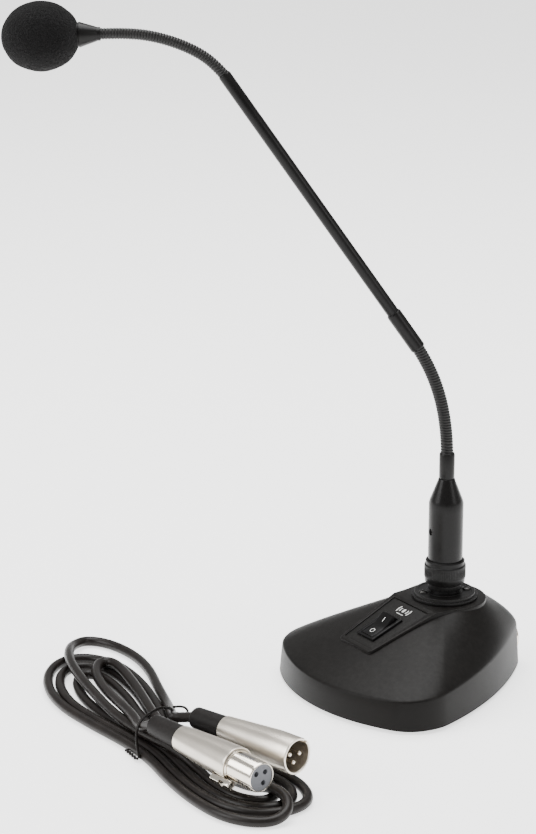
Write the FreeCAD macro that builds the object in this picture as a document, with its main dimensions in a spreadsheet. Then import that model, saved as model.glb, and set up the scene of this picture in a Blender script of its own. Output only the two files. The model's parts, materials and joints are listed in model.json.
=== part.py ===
"""Desk microphone on a weighted base, with a plug-in gooseneck and its cable.

Millimetres, +Z up. The origin is on the surface that the base stands on, under the axis of the neck's
socket. The base's front, with the switch, points to -Y.
"""
import FreeCAD, Part
import math
import os
import re
from types import SimpleNamespace

import Sketcher
from FreeCAD import Placement, Rotation, Vector

X, Y, Z = Vector(1, 0, 0), Vector(0, 1, 0), Vector(0, 0, 1)

SIZES = {
    # base outline, seen from above
    "base_half_width": 64.5, "base_front": 88.5, "base_back": 47.5, "front_radius": 102, "corner_radius": 27,
    "side_radius": 205, "back_radius": 20,
    # base cover
    "skirt_bottom": 2, "skirt_flare": 1.5, "crease_front": 16.7, "crease_back": 25, "wall": 2.5,
    "seat_height": 46, "seat_radius": 21, "boss_radius": 3.8, "boss_bore": 1.5,
    "dome_swell": 0.84, "dome_swell_change": 0.11, "platform_corner": 2.5, "panel_corner": 1,
    # bottom plate, foam pad, ballast
    "pad_thickness": 1.5, "plate_thickness": 1.5, "plate_inset": 3.2, "pad_inset": 4.2,
    "ballast_front_half": 34, "ballast_back_half": 22, "ballast_front": 64, "ballast_back": 12,
    "ballast_bottom": 3.1, "ballast_thickness": 8, "ballast_corner": 6,
    # screws through the bottom plate
    "case_screw_head": 2.6, "case_screw_head_height": 1.1, "case_screw_shank": 1.45, "case_screw_length": 10,
    "screw_front_half": 42, "screw_front": 56, "screw_back_half": 17, "screw_back": 22,
    # sloping platform with its label panel
    "slope": 21.3, "switch_front": 43.5, "switch_height": 36.6, "platform_rise": 0.4, "platform_depth": 9,
    "platform_front": 18.3, "platform_back": 32, "platform_front_half": 14, "platform_back_half": 21.5,
    "panel_front": 15.8, "panel_back": 22.5, "panel_front_half": 12.5, "panel_back_half": 15.8,
    "panel_thickness": 1, "panel_gap": 0.15,
    # rocker switch
    "bezel_width": 15, "bezel_length": 21, "bezel_rise": 1.5, "housing_width": 13, "housing_length": 19,
    "housing_depth": 11, "housing_floor": 3, "housing_gap": 0.2, "well_width": 10.4, "well_length": 18.3,
    "rocker_width": 9.8, "rocker_half": 8.4, "rocker_peak": 3.4, "rocker_dip": 1.8, "rocker_keel": 5,
    "rocker_pivot": -0.2, "rocker_tilt": 11, "trunnion_radius": 1.1, "trunnion_span": 12.2,
    "trunnion_bore": 1.2, "terminal_width": 4.8, "terminal_thickness": 0.8, "terminal_length": 9,
    "terminal_spread": 4.6,
    # circuit board
    "board_half": 20, "board_front": 22, "board_back": 6, "board_bottom": 17, "board_thickness": 1.6,
    "spacer_radius": 2.4, "spacer_half": 16, "spacer_front": 18, "spacer_back": 2,
    "board_screw_head": 2.3, "board_screw_head_height": 1.5, "board_screw_shank": 1.2,
    "capacitor_radius": 3.1, "capacitor_height": 7, "header_length": 8, "header_width": 5,
    # neck socket
    "barrel_radius": 11, "barrel_bottom": 30, "barrel_bore": 6.9, "step_radius": 19, "step_height": 2,
    "flange_radius": 17.3, "flange_height": 1.5, "hub_radius": 8.2, "hub_top": 54, "nose_radius": 7.9,
    "nose_top": 67, "socket_insert_bottom": 32, "contact_outer": 1.95, "contact_bore": 1.3,
    "contact_bottom": 27, "contact_top": 60, "flange_screw_place": 12.3, "flange_screw_heading": 70,
    "flange_screw_head": 2.5, "flange_screw_shank": 1.4, "flange_screw_length": 9,
    # locking collar
    "collet_foot": 51, "collet_step": 54.2, "collet_top": 66, "collet_foot_radius": 9.3,
    "collet_radius": 10.4, "collet_bore": 9.65, "collet_foot_bore": 8.26, "ring_bottom": 54.8,
    "ring_shoulder": 58.4, "ring_waist": 65, "ring_lip": 66.4, "ring_top": 68, "ring_foot_radius": 10.9,
    "ring_radius": 11.4, "ring_rim_radius": 10.7, "ring_bore": 10.5, "ring_lip_bore": 9.8,
    # plug at the foot of the neck
    "plug_radius": 9.5, "plug_bore": 8.1, "plug_mouth": 55.8, "plug_shoulder": 100.3, "plug_tip": 114.3,
    "plug_tip_radius": 4.25, "plug_tip_bore": 3.3, "carrier_bottom": 67.6, "carrier_floor": 75,
    "carrier_top": 90, "carrier_bore": 5, "pin_radius": 1.2, "pin_circle": 3.6, "pin_bottom": 57,
    "pin_top": 77, "set_screw_height": 84.4, "set_screw_heading": 261.6, "set_screw_radius": 1.8,
    "ferrule_stub": 106, "ferrule_top": 128.8, "wire_bore": 1.2,
    # flexible sections, each a chain of links with a ball on top and a cup below
    "lean_heading": 236.5, "joint_gap": 0.6, "cup_clearance": 0.15,
    "lower_radius": 3.5, "lower_ball": 2.9, "lower_link": 12,
    "upper_radius": 3, "upper_ball": 2.45, "upper_link": 11.4,
    # sleeve and middle tube
    "sleeve_radius": 4.1, "sleeve_length": 24.6, "sleeve_seat": 10, "sleeve_chamfer": 0.8,
    "tube_radius": 3.4, "tube_bore": 2.7, "tube_end": 181.9, "tube_cap": 4,
    # head
    "head_neck_radius": 3.6, "head_neck_length": 2.4, "head_cone_radius": 6.65, "head_cone_length": 11.6,
    "head_tube_radius": 6.4, "head_tube_bore": 5.6, "head_tube_floor": 16, "head_tube_length": 36,
    "capsule_radius": 5.4, "capsule_bottom": 25, "capsule_length": 7, "grille_thickness": 1,
    "grille_hole": 0.5, "foam_centre": 31.7, "foam_half_length": 20, "foam_radius": 17.75,
    "foam_bore": 6.7, "foam_bore_end": 38,
    # output connector in the back of the base
    "output_height": 13.8, "output_radius": 9.85, "output_bore": 8.1, "output_inner": 30,
    "output_mouth": 49, "output_floor": 34, "output_hole": 10, "output_boss": 12.5, "output_pin_back": 26,
    "output_pin_front": 47,
    # cable connectors
    "boot_start_radius": 5.6, "boot_end_radius": 6.4, "boot_bore": 2.85, "shell_back_radius": 6.9,
    "shell_radius": 9.6, "shell_back_bore": 6, "shell_bore": 8.5, "connector_height": 20,
    "female_boot_length": 23.4, "female_shell_end": 67.8, "female_nose_start": 58, "female_nose_end": 86.7,
    "female_nose_radius": 7.9, "female_nose_bore": 7, "female_insert_set": 1, "female_hole": 1.4,
    "female_hole_depth": 14, "latch_width": 4.8, "latch_start": 59, "latch_end": 72, "latch_inner": 9,
    "latch_outer": 11.8, "latch_slot": 5.2, "latch_slot_start": 58.4, "latch_turn": 308.6,
    "female_roll": -142, "male_roll": 79.5,
    "male_boot_length": 21.8, "male_mouth": 72.5, "male_floor": 56, "male_insert_back": 50,
    "male_pin_end": 71,
    # the hank of cable and its tie
    "fan_x": -72, "fan_y": -176, "fan_half_length": 70, "fan_half_width": 32, "fan_height": 15,
    "loop_x": 56, "loop_y": -180, "loop_half_length": 57, "loop_half_width": 27, "loop_height": 10.2,
    "waist_start": -20, "waist_end": 12.5, "waist_y": -186, "waist_z": 10, "waist_half_width": 15.3,
    "waist_half_height": 8, "tie_x": 2, "tie_half_width": 16.6, "tie_half_height": 9.2, "tie_radius": 0.8,
}

# Bend at each joint of the flexible sections at rest, in degrees, from the foot up.
LOWER_BENDS = [4, 5, 6, 7, 7, 6]
UPPER_BENDS = [11, 15, 9, 7, 9, 5, 1.3]

# Foot and heading of the cable's two connectors.
FEMALE_FOOT, FEMALE_HEADING = Vector(14, -195.4, 0), 6.1
MALE_FOOT, MALE_HEADING = Vector(17.3, -172.5, 0), 12.3

os.makedirs("parts", exist_ok=True)
doc = FreeCAD.newDocument("DeskMicrophone")
sheet = doc.addObject("Spreadsheet::Sheet", "Dimensions")
for row, (alias, value) in enumerate(SIZES.items(), start=1):
    sheet.set(f"A{row}", alias)
    sheet.set(f"B{row}", str(value))
    sheet.setAlias(f"B{row}", alias)
doc.recompute()
size = SimpleNamespace(**{alias: float(sheet.get(alias)) for alias in SIZES})

nodes = []


def bound(text):
    """The text of an expression with each alias read from the sheet."""
    return re.sub(r"[a-z_]+", lambda word: "Dimensions." + word[0] if word[0] in SIZES else word[0], text)


def node(piece, label, place=None):
    """Name a finished sub-part and put it in its place."""
    piece.Label = label
    if place is not None:
        piece.Placement = place
    nodes.append(piece)
    return piece


# ---------------------------------------------------------------- sketches and bodies

def base_plane(body, role):
    return next(p for p in body.Origin.OriginFeatures if p.Role == role)


def outline_sketch(body, role, outline):
    """A closed polygon whose corners are pairs of expressions, on one of the body's origin planes."""
    sketch = body.newObject("Sketcher::SketchObject", body.Name + "Outline")
    sketch.AttachmentSupport = (base_plane(body, role), [""])
    sketch.MapMode = "FlatFace"
    count = len(outline)
    corners = [Vector(3 + k, 1 + k * k, 0) for k in range(count)]
    for k in range(count):
        sketch.addGeometry(Part.LineSegment(corners[k], corners[(k + 1) % count]))
    for k in range(count):
        sketch.addConstraint(Sketcher.Constraint("Coincident", k, 2, (k + 1) % count, 1))
    for k, pair in enumerate(outline):
        for kind, axis, text in (("DistanceX", -2, pair[0]), ("DistanceY", -1, pair[1])):
            if text == "0":
                sketch.addConstraint(Sketcher.Constraint("PointOnObject", k, 1, axis))
            else:
                place = sketch.addConstraint(Sketcher.Constraint(kind, k, 1, 1.0))
                sketch.setExpression(f"Constraints[{place}]", bound(text))
    return sketch


def turned(name, outline):
    """A body of revolution about Z from pairs of radius and height."""
    body = doc.addObject("PartDesign::Body", name)
    sketch = outline_sketch(body, "XZ_Plane", outline)
    turn = body.newObject("PartDesign::Revolution", name + "Turn")
    turn.Profile = sketch
    turn.ReferenceAxis = (sketch, ["V_Axis"])
    turn.Angle = 360
    return body


def plate(name, outline, thickness):
    """A flat plate on Z = 0 from its corners."""
    body = doc.addObject("PartDesign::Body", name)
    pad = body.newObject("PartDesign::Pad", name + "Pad")
    pad.Profile = outline_sketch(body, "XY_Plane", outline)
    pad.setExpression("Length", bound(thickness))
    return body


def slab(name, outline, width):
    """A prism along X, centred on X = 0, from pairs of Y and Z."""
    body = doc.addObject("PartDesign::Body", name)
    pad = body.newObject("PartDesign::Pad", name + "Pad")
    pad.Profile = outline_sketch(body, "YZ_Plane", outline)
    pad.Midplane = True
    pad.setExpression("Length", bound(width))
    return body


def rectangle(half_x, low_y, high_y):
    return [(f"-({half_x})", low_y), (half_x, low_y), (half_x, high_y), (f"-({half_x})", high_y)]


# ---------------------------------------------------------------- primitives

def primitive(kind, name, place, **expressions):
    piece = doc.addObject("Part::" + kind, name)
    for prop, text in expressions.items():
        piece.setExpression(prop, bound(text))
    piece.Placement = place
    return piece


def rod(name, radius, height, place):
    return primitive("Cylinder", name, place, Radius=radius, Height=height)


def cut(name, base, *tools):
    """The base with the tools taken away, one after another."""
    for k, tool in enumerate(tools):
        piece = doc.addObject("Part::Cut", f"{name}Cut{k}")
        piece.Base, piece.Tool = base, tool
        base = piece
    return base


def fused(name, *pieces):
    piece = doc.addObject("Part::MultiFuse", name)
    piece.Shapes = list(pieces)
    return piece


def group(name, *pieces):
    """Like pieces that share a node, as separate solids."""
    piece = doc.addObject("Part::Compound", name)
    piece.Links = list(pieces)
    return piece


def feature(name, shape):
    piece = doc.addObject("Part::Feature", name)
    piece.Shape = shape
    return piece


def at(x=0, y=0, z=0, turn=None):
    return Placement(Vector(x, y, z), turn or Rotation())


def ring_places(radius, angles, z=0):
    return [at(radius * math.cos(math.radians(a)), radius * math.sin(math.radians(a)), z) for a in angles]


PIN_ANGLES = (12, 168, 270)

# ---------------------------------------------------------------- the base's outline and cover

front_centre = Vector(0, size.front_radius - size.base_front, 0)
corner_centre = Vector(size.base_half_width - size.corner_radius, 0, 0)
corner_centre.y = front_centre.y - math.sqrt(
    (size.front_radius - size.corner_radius) ** 2 - corner_centre.x ** 2)
back_centre = Vector(0, size.base_back - size.back_radius, 0)


def touching_centre(first, first_distance, second, second_distance):
    """The point at given distances from two centres, on the left of the line between them."""
    along = second - first
    gap = along.Length
    along.normalize()
    reach = (first_distance ** 2 - second_distance ** 2 + gap ** 2) / (2 * gap)
    off = math.sqrt(first_distance ** 2 - reach ** 2)
    return first + along * reach + Vector(-along.y, along.x, 0) * off


side_centre = touching_centre(corner_centre, size.side_radius - size.corner_radius,
                              back_centre, size.side_radius - size.back_radius)


def mirrored(point):
    return Vector(-point.x, point.y, point.z)


def outline_wire(inset):
    """Six tangent arcs: front, two corners, two long sides and back."""
    def arc(centre, radius, start, end):
        ways = [(p - centre).normalize() for p in (start, end)]
        middle = (ways[0] + ways[1]).normalize()
        points = [centre + way * (radius - inset) for way in (ways[0], middle, ways[1])]
        return Part.Arc(*points).toShape()

    front_end = front_centre + (corner_centre - front_centre).normalize() * size.front_radius
    corner_end = side_centre + (corner_centre - side_centre).normalize() * size.side_radius
    side_end = side_centre + (back_centre - side_centre).normalize() * size.side_radius
    return Part.Wire([
        arc(back_centre, size.back_radius, side_end, mirrored(side_end)),
        arc(mirrored(side_centre), size.side_radius, mirrored(side_end), mirrored(corner_end)),
        arc(mirrored(corner_centre), size.corner_radius, mirrored(corner_end), mirrored(front_end)),
        arc(front_centre, size.front_radius, mirrored(front_end), front_end),
        arc(corner_centre, size.corner_radius, front_end, corner_end),
        arc(side_centre, size.side_radius, corner_end, side_end),
    ])


def loop(points):
    curve = Part.BSplineCurve()
    curve.interpolate(Points=points, PeriodicFlag=True)
    return Part.Wire(curve.toShape())


def crease_height(y):
    share = (y + size.base_front) / (size.base_front + size.base_back)
    return size.crease_front + (size.crease_back - size.crease_front) * share


def cover_solid(inset, bottom):
    """Skirt and dome of the cover, moved in by inset, as one closed solid."""
    spread = outline_wire(inset).discretize(Number=49)[:-1]
    drawn_in = outline_wire(inset + size.skirt_flare).discretize(Number=49)[:-1]
    foot = loop([Vector(p.x, p.y, bottom) for p in spread])
    crease = [Vector(p.x, p.y, crease_height(p.y) - inset) for p in drawn_in]
    skirt = Part.makeLoft([foot, loop(crease)], True, True)
    rings = [loop(crease)]
    for step in (0.25, 0.5, 0.75, 1.0):
        ring = []
        for p in crease:
            way = Vector(p.x, p.y, 0).normalize()
            top = way * (size.seat_radius - inset)
            swell = size.dome_swell - size.dome_swell_change * way.y
            lift = step ** swell
            height = p.z + (size.seat_height - inset - p.z) * lift
            ring.append(Vector(p.x + (top.x - p.x) * step, p.y + (top.y - p.y) * step, height))
        rings.append(loop(ring))
    dome = Part.makeLoft(rings, True, False)
    return skirt.fuse(dome).removeSplitter()


panel_place = Placement(Vector(0, -size.switch_front, size.switch_height), Rotation(X, size.slope))


def trapezoid(front, front_half, back, back_half, low, high, corner=0):
    """A plate with a narrow front, in the sloping panel's own frame."""
    corners = [Vector(-front_half, -front, low), Vector(front_half, -front, low),
               Vector(back_half, back, low), Vector(-back_half, back, low)]
    solid = Part.Face(Part.makePolygon(corners + corners[:1])).extrude(Z * (high - low))
    if corner:
        upright = [e for e in solid.Edges if abs(e.Vertexes[0].Z - e.Vertexes[1].Z) > (high - low) / 2
                   and e.Vertexes[0].Y < 0]
        solid = solid.makeFillet(corner, upright)
    return solid


def placed(shape, place):
    shape = shape.copy()
    shape.Placement = place.multiply(shape.Placement)
    return shape


def base_cover():
    outer = cover_solid(0, size.skirt_bottom)
    platform = trapezoid(size.platform_front, size.platform_front_half, size.platform_back,
                         size.platform_back_half, -size.platform_depth, size.platform_rise,
                         corner=size.platform_corner)
    shell = outer.fuse(placed(platform, panel_place).common(
        Part.makeCylinder(200, size.seat_height, Vector(0, 0, 0))))
    inner = cover_solid(size.wall, size.skirt_bottom - 1)
    shell = shell.cut(inner)
    plate_top = size.pad_thickness + size.plate_thickness + 0.05
    boss_bore_top = size.pad_thickness + size.case_screw_length + 1
    room = Part.makeBox(400, 400, 100, Vector(-200, -200, plate_top))
    for x, y in case_screw_spots:
        boss = Part.makeCylinder(size.boss_radius, 60, Vector(x, y, 0)).common(outer).common(room)
        shell = shell.fuse(boss)
    output_boss = Part.makeCylinder(size.output_boss, 40, Vector(0, 35, size.output_height), Y)
    shell = shell.fuse(output_boss.common(outer).common(room))
    for x, y in case_screw_spots:
        shell = shell.cut(Part.makeCylinder(size.boss_bore, boss_bore_top, Vector(x, y, 0)))
    shell = shell.cut(Part.makeCylinder(size.output_hole, 60, Vector(0, 20, size.output_height), Y))
    shell = shell.cut(Part.makeCylinder(size.barrel_radius + 0.1, 30, Vector(0, 0, 30)))
    for place in flange_screw_places:
        shell = shell.cut(Part.makeCylinder(size.flange_screw_shank + 0.05, 30,
                                            place.Base - Z * 20))
    recess = trapezoid(size.panel_front, size.panel_front_half, size.panel_back, size.panel_back_half,
                       -size.panel_thickness, size.platform_rise + 5, corner=size.panel_corner)
    return shell.cut(placed(recess, panel_place)).cut(placed(housing_room(40), panel_place))


def housing_room(height):
    """The opening that the switch housing passes through, in the sloping panel's own frame."""
    gap = size.housing_gap
    return Part.makeBox(size.housing_width + 2 * gap, size.housing_length + 2 * gap, height,
                        Vector(-size.housing_width / 2 - gap, -size.housing_length / 2 - gap, -height / 2))


case_screw_spots = [(side * half, y) for half, y in
                    ((size.screw_front_half, -size.screw_front), (size.screw_back_half, size.screw_back))
                    for side in (-1, 1)]
flange_top = size.seat_height + size.step_height + size.flange_height
flange_screw_places = ring_places(size.flange_screw_place,
                                  (size.flange_screw_heading, size.flange_screw_heading + 180), flange_top)

node(feature("BaseCover", base_cover()), "base_cover")


def flat_sheet(inset, bottom, thickness, hole):
    """A sheet of the base's outline with a hole at each case screw."""
    sheet_solid = Part.Face(outline_wire(inset)).extrude(Z * thickness)
    sheet_solid.translate(Z * bottom)
    for x, y in case_screw_spots:
        sheet_solid = sheet_solid.cut(Part.makeCylinder(hole, 20, Vector(x, y, -5)))
    return sheet_solid


node(feature("AntiSlipPad", flat_sheet(size.pad_inset, 0, size.pad_thickness, size.case_screw_head + 0.5)),
     "anti_slip_pad")
node(feature("BottomPlate", flat_sheet(size.plate_inset, size.pad_thickness, size.plate_thickness,
                                       size.case_screw_shank + 0.15)), "bottom_plate")


def screw(name, head, head_height, shank, length, place):
    """A screw whose head stands above its own origin and whose shank points down."""
    head_rod = rod(name + "Head", head, head_height, at())
    shank_rod = rod(name + "Shank", shank, length, at(z=-size_of(length)))
    piece = fused(name, head_rod, shank_rod)
    piece.Placement = place
    return piece


def size_of(alias):
    return getattr(size, alias)


upside_down = Rotation(X, 180)
node(group("BottomScrews", *[
    screw(f"CaseScrew{k}", "case_screw_head", "case_screw_head_height", "case_screw_shank",
          "case_screw_length", at(x, y, size.pad_thickness, upside_down))
    for k, (x, y) in enumerate(case_screw_spots)]), "bottom_screws")

ballast = plate("Ballast", [
    ("-ballast_front_half", "-ballast_front"), ("ballast_front_half", "-ballast_front"),
    ("ballast_back_half", "ballast_back"), ("-ballast_back_half", "ballast_back")], "ballast_thickness")
node(ballast, "ballast", at(z=size.ballast_bottom))

# ---------------------------------------------------------------- label panel and rocker switch

gap = size.panel_gap
label_panel = trapezoid(size.panel_front - gap, size.panel_front_half - gap, size.panel_back - gap,
                        size.panel_back_half - gap, -size.panel_thickness + 0.02, 0,
                        corner=size.panel_corner - 0.1)
node(feature("LabelPanel", label_panel.cut(housing_room(10))), "label_panel", panel_place)

bezel_rim = primitive("Box", "BezelRim", at(-size.bezel_width / 2, -size.bezel_length / 2, 0.02),
                      Length="bezel_width", Width="bezel_length", Height="bezel_rise")
housing = primitive("Box", "SwitchHousing",
                    at(-size.housing_width / 2, -size.housing_length / 2, -size.housing_depth),
                    Length="housing_width", Width="housing_length", Height="housing_depth + bezel_rise / 2")
well = primitive("Box", "SwitchWell",
                 at(-size.well_width / 2, -size.well_length / 2, size.housing_floor - size.housing_depth),
                 Length="well_width", Width="well_length", Height="housing_depth + bezel_rise * 2")
sideways = Rotation(Y, 90)
trunnion_hole = rod("TrunnionHole", "trunnion_bore", "trunnion_span + 0.3",
                    at(-size.trunnion_span / 2 - 0.15, 0, size.rocker_pivot, sideways))
terminal_slots = [primitive("Box", f"TerminalSlot{k}",
                            at(-size.terminal_width / 2, k * size.terminal_spread
                               - size.terminal_thickness / 2, -size.housing_depth - 1),
                            Length="terminal_width", Width="terminal_thickness", Height="housing_floor + 2")
                  for k in (-1, 1)]
node(cut("SwitchBezel", fused("BezelBlank", bezel_rim, housing), well, trunnion_hole, *terminal_slots),
     "switch_bezel", panel_place)

rocker = slab("Rocker", [
    ("-rocker_half", "rocker_peak"), ("-rocker_half + 0.3", "-0.5"), ("-rocker_half / 3", "-rocker_keel"),
    ("rocker_half / 3", "-rocker_keel"), ("rocker_half - 0.3", "-0.5"), ("rocker_half", "rocker_peak"),
    ("0", "rocker_dip")], "rocker_width")
trunnions = rod("Trunnions", "trunnion_radius", "trunnion_span",
                at(-size.trunnion_span / 2, 0, 0, sideways))
rocker_rest = panel_place.multiply(at(z=size.rocker_pivot, turn=Rotation(X, size.rocker_tilt)))
node(fused("SwitchRocker", rocker, trunnions), "switch_rocker", rocker_rest)

node(group("SwitchTerminals", *[
    primitive("Box", f"Terminal{k}",
              at(-size.terminal_width / 2 + 0.05, k * size.terminal_spread - size.terminal_thickness / 2
                 + 0.05, -size.housing_depth + size.housing_floor - size.terminal_length),
              Length="terminal_width - 0.1", Width="terminal_thickness - 0.1", Height="terminal_length")
    for k in (-1, 1)]), "switch_terminals", panel_place)

# ---------------------------------------------------------------- circuit board

spacer_spots = [(side * size.spacer_half, y) for y in (-size.spacer_front, size.spacer_back)
                for side in (-1, 1)]
board = plate("CircuitBoard", rectangle("board_half", "-board_front", "board_back"), "board_thickness")
board_holes = [rod(f"BoardHole{k}", "board_screw_shank + 0.2", "board_thickness * 3", at(x, y, -1))
               for k, (x, y) in enumerate(spacer_spots)]
node(cut("BoardDrilled", board, *board_holes), "circuit_board", at(z=size.board_bottom))
ballast_top = size.ballast_bottom + size.ballast_thickness
node(group("BoardSpacers", *[
    cut(f"Spacer{k}", rod(f"SpacerRod{k}", "spacer_radius",
                          "board_bottom - ballast_bottom - ballast_thickness", at(x, y, ballast_top)),
        rod(f"SpacerBore{k}", "board_screw_shank + 0.05", "board_bottom", at(x, y, ballast_top + 0.8)))
    for k, (x, y) in enumerate(spacer_spots)]), "board_spacers")
board_top = size.board_bottom + size.board_thickness
node(group("BoardScrews", *[
    fused(f"BoardScrew{k}", rod(f"BoardScrewHead{k}", "board_screw_head", "board_screw_head_height",
                                at(x, y, board_top)),
          rod(f"BoardScrewShank{k}", "board_screw_shank", "board_thickness + 3.5", at(x, y, board_top - 5)))
    for k, (x, y) in enumerate(spacer_spots)]), "board_screws")
node(group("BoardParts",
           rod("CapacitorA", "capacitor_radius", "capacitor_height", at(-8, -12, board_top)),
           rod("CapacitorB", "capacitor_radius", "capacitor_height", at(0, -12, board_top)),
           primitive("Box", "Header", at(6, -15, board_top), Length="header_length",
                     Width="header_width", Height="header_width")),
     "board_parts")

# ---------------------------------------------------------------- neck socket

socket_shape = turned("SocketFlange", [
    ("barrel_bore", "barrel_bottom"), ("barrel_radius", "barrel_bottom"), ("barrel_radius", "seat_height"),
    ("step_radius", "seat_height"), ("step_radius", "seat_height + step_height"),
    ("flange_radius", "seat_height + step_height"),
    ("flange_radius", "seat_height + step_height + flange_height"),
    ("hub_radius", "seat_height + step_height + flange_height"), ("hub_radius", "hub_top"),
    ("nose_radius", "hub_top"), ("nose_radius", "nose_top"), ("barrel_bore", "nose_top")])
flange_holes = [rod(f"FlangeHole{k}", "flange_screw_shank + 0.05", "20", at(p.Base.x, p.Base.y, 40))
                for k, p in enumerate(flange_screw_places)]
node(cut("SocketDrilled", socket_shape, *flange_holes), "socket_flange")
node(group("FlangeScrews", *[
    screw(f"FlangeScrew{k}", "flange_screw_head", "case_screw_head_height", "flange_screw_shank",
          "flange_screw_length", place) for k, place in enumerate(flange_screw_places)]), "flange_screws")

insert_rod = rod("SocketInsertRod", "barrel_bore - 0.04", "nose_top - socket_insert_bottom - 0.5",
                 at(z=size.socket_insert_bottom))
entries = [rod(f"SocketEntry{k}", "contact_bore", "80", place)
           for k, place in enumerate(ring_places(size.pin_circle, PIN_ANGLES))]
pockets = [rod(f"SocketPocket{k}", "contact_outer + 0.05", "contact_top - socket_insert_bottom + 5", place)
           for k, place in enumerate(ring_places(size.pin_circle, PIN_ANGLES,
                                                 size.socket_insert_bottom - 5))]
node(cut("SocketInsert", insert_rod, *entries, *pockets), "socket_insert")
contact_outline = [("contact_bore", "contact_bottom"), ("contact_outer", "contact_bottom"),
                   ("contact_outer", "contact_top - 0.1"), ("contact_bore", "contact_top - 0.1")]
contacts = [turned(f"SocketContact{k}", contact_outline) for k in range(len(PIN_ANGLES))]
for contact, place in zip(contacts, ring_places(size.pin_circle, PIN_ANGLES)):
    contact.Placement = place
node(group("SocketContacts", *contacts), "socket_contacts")

node(turned("LockCollet", [
    ("collet_foot_bore", "collet_foot"), ("collet_foot_radius", "collet_foot"),
    ("collet_foot_radius", "collet_step"), ("collet_radius", "collet_step + 0.9"),
    ("collet_radius", "collet_top"), ("collet_bore", "collet_top"), ("collet_bore", "collet_step"),
    ("collet_foot_bore", "collet_step")]), "lock_collet")
node(turned("LockRing", [
    ("ring_bore", "ring_bottom"), ("ring_foot_radius", "ring_bottom"), ("ring_radius", "ring_shoulder"),
    ("ring_radius", "ring_waist"), ("ring_rim_radius", "ring_waist"),
    ("ring_rim_radius", "ring_top - 0.6"), ("ring_rim_radius - 0.6", "ring_top"),
    ("ring_lip_bore", "ring_top"), ("ring_lip_bore", "ring_lip"), ("ring_bore", "ring_lip")]), "lock_ring")

# ---------------------------------------------------------------- plug at the foot of the neck

plug_blank = turned("PlugShell", [
    ("plug_bore", "plug_mouth"), ("plug_radius", "plug_mouth"), ("plug_radius", "plug_shoulder"),
    ("plug_tip_radius", "plug_tip"), ("plug_tip_bore", "plug_tip"), ("plug_tip_bore", "plug_tip - 2.5"),
    ("plug_bore", "plug_shoulder - 1")])
set_screw_way = Rotation(Z, size.set_screw_heading).multiply(Rotation(Y, 90))
set_screw_hole = rod("SetScrewHole", "set_screw_radius + 0.1", "plug_radius * 2",
                     at(z=size.set_screw_height, turn=set_screw_way))
node(cut("PlugDrilled", plug_blank, set_screw_hole), "plug_shell")
carrier_blank = turned("PlugCarrier", [
    ("0", "carrier_bottom"), ("plug_bore - 0.04", "carrier_bottom"), ("plug_bore - 0.04", "carrier_top"),
    ("carrier_bore", "carrier_top"), ("carrier_bore", "carrier_floor"), ("0", "carrier_floor")])
carrier_hole = rod("CarrierHole", "set_screw_radius + 0.1", "plug_radius * 2",
                   at(z=size.set_screw_height, turn=set_screw_way))
pin_holes = [rod(f"PinHole{k}", "pin_radius + 0.03", "20", place)
             for k, place in enumerate(ring_places(size.pin_circle, PIN_ANGLES, size.carrier_bottom - 5))]
node(cut("PlugInsert", carrier_blank, carrier_hole, *pin_holes), "plug_insert")
node(group("PlugPins", *[rod(f"PlugPin{k}", "pin_radius", "pin_top - pin_bottom", place)
                         for k, place in enumerate(ring_places(size.pin_circle, PIN_ANGLES,
                                                               size.pin_bottom))]), "plug_pins")
set_screw_start = set_screw_way.multVec(Z) * (size.carrier_bore + 0.6)
node(rod("SetScrew", "set_screw_radius", "plug_radius - carrier_bore - 1",
         Placement(set_screw_start + Z * size.set_screw_height, set_screw_way)), "plug_set_screw")

# ---------------------------------------------------------------- the neck's line

lean = Vector(math.cos(math.radians(size.lean_heading)), math.sin(math.radians(size.lean_heading)), 0)
bend_axis = Z.cross(lean)


def along(angle):
    """The neck's direction at an angle from upright, leaning."""
    return Z * math.cos(math.radians(angle)) + lean * math.sin(math.radians(angle))


def chain(start, start_angle, bends, link_length):
    """Each joint's point, and the angle of the piece below and above it."""
    joints = []
    point, angle = start, start_angle
    for k, bend in enumerate(bends):
        joints.append((point, angle, angle + bend))
        angle += bend
        point = point + along(angle) * link_length
    return joints


lower_joints = chain(Z * (size.ferrule_top + size.joint_gap), 0, LOWER_BENDS, size.lower_link)
sleeve_point, _, tube_angle = lower_joints[-1]
tube_top = sleeve_point + along(tube_angle) * size.tube_end
upper_joints = chain(tube_top, tube_angle, UPPER_BENDS, size.upper_link)
head_point, _, head_angle = upper_joints[-1]


def neck_place(point, angle):
    return Placement(point, Rotation(bend_axis, angle))


def ball(name, radius, z):
    return primitive("Sphere", name, at(z=z), Radius=radius)


def cup(name, section):
    return primitive("Sphere", name, at(), Radius=f"{section}_ball + cup_clearance")


def bore(name, length):
    return rod(name, "wire_bore", length, at(z=-10))


def link(name, section):
    """A link from its lower joint at its origin to the next joint."""
    length = size_of(section + "_link")
    barrel = rod(name + "Barrel", section + "_radius", f"{section}_link - 2 * joint_gap",
                 at(z=size.joint_gap))
    whole = fused(name + "Whole", barrel, ball(name + "Ball", section + "_ball", length))
    return cut(name, whole, cup(name + "Cup", section), bore(name + "Bore", "60"))


ferrule_blank = turned("Ferrule", [
    ("0", "ferrule_stub"), ("plug_tip_bore - 0.05", "ferrule_stub"), ("plug_tip_bore - 0.05", "plug_tip"),
    ("plug_tip_radius", "plug_tip + 0.02"), ("plug_tip_radius", "ferrule_top - 0.6"),
    ("plug_tip_radius - 0.6", "ferrule_top"), ("0", "ferrule_top")])
ferrule_ball = ball("FerruleBall", "lower_ball", size.ferrule_top + size.joint_gap)
node(cut("FerruleDrilled", fused("FerruleWhole", ferrule_blank, ferrule_ball),
         rod("FerruleBore", "wire_bore", "60", at(z=size.ferrule_stub - 10))), "neck_ferrule")

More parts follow.
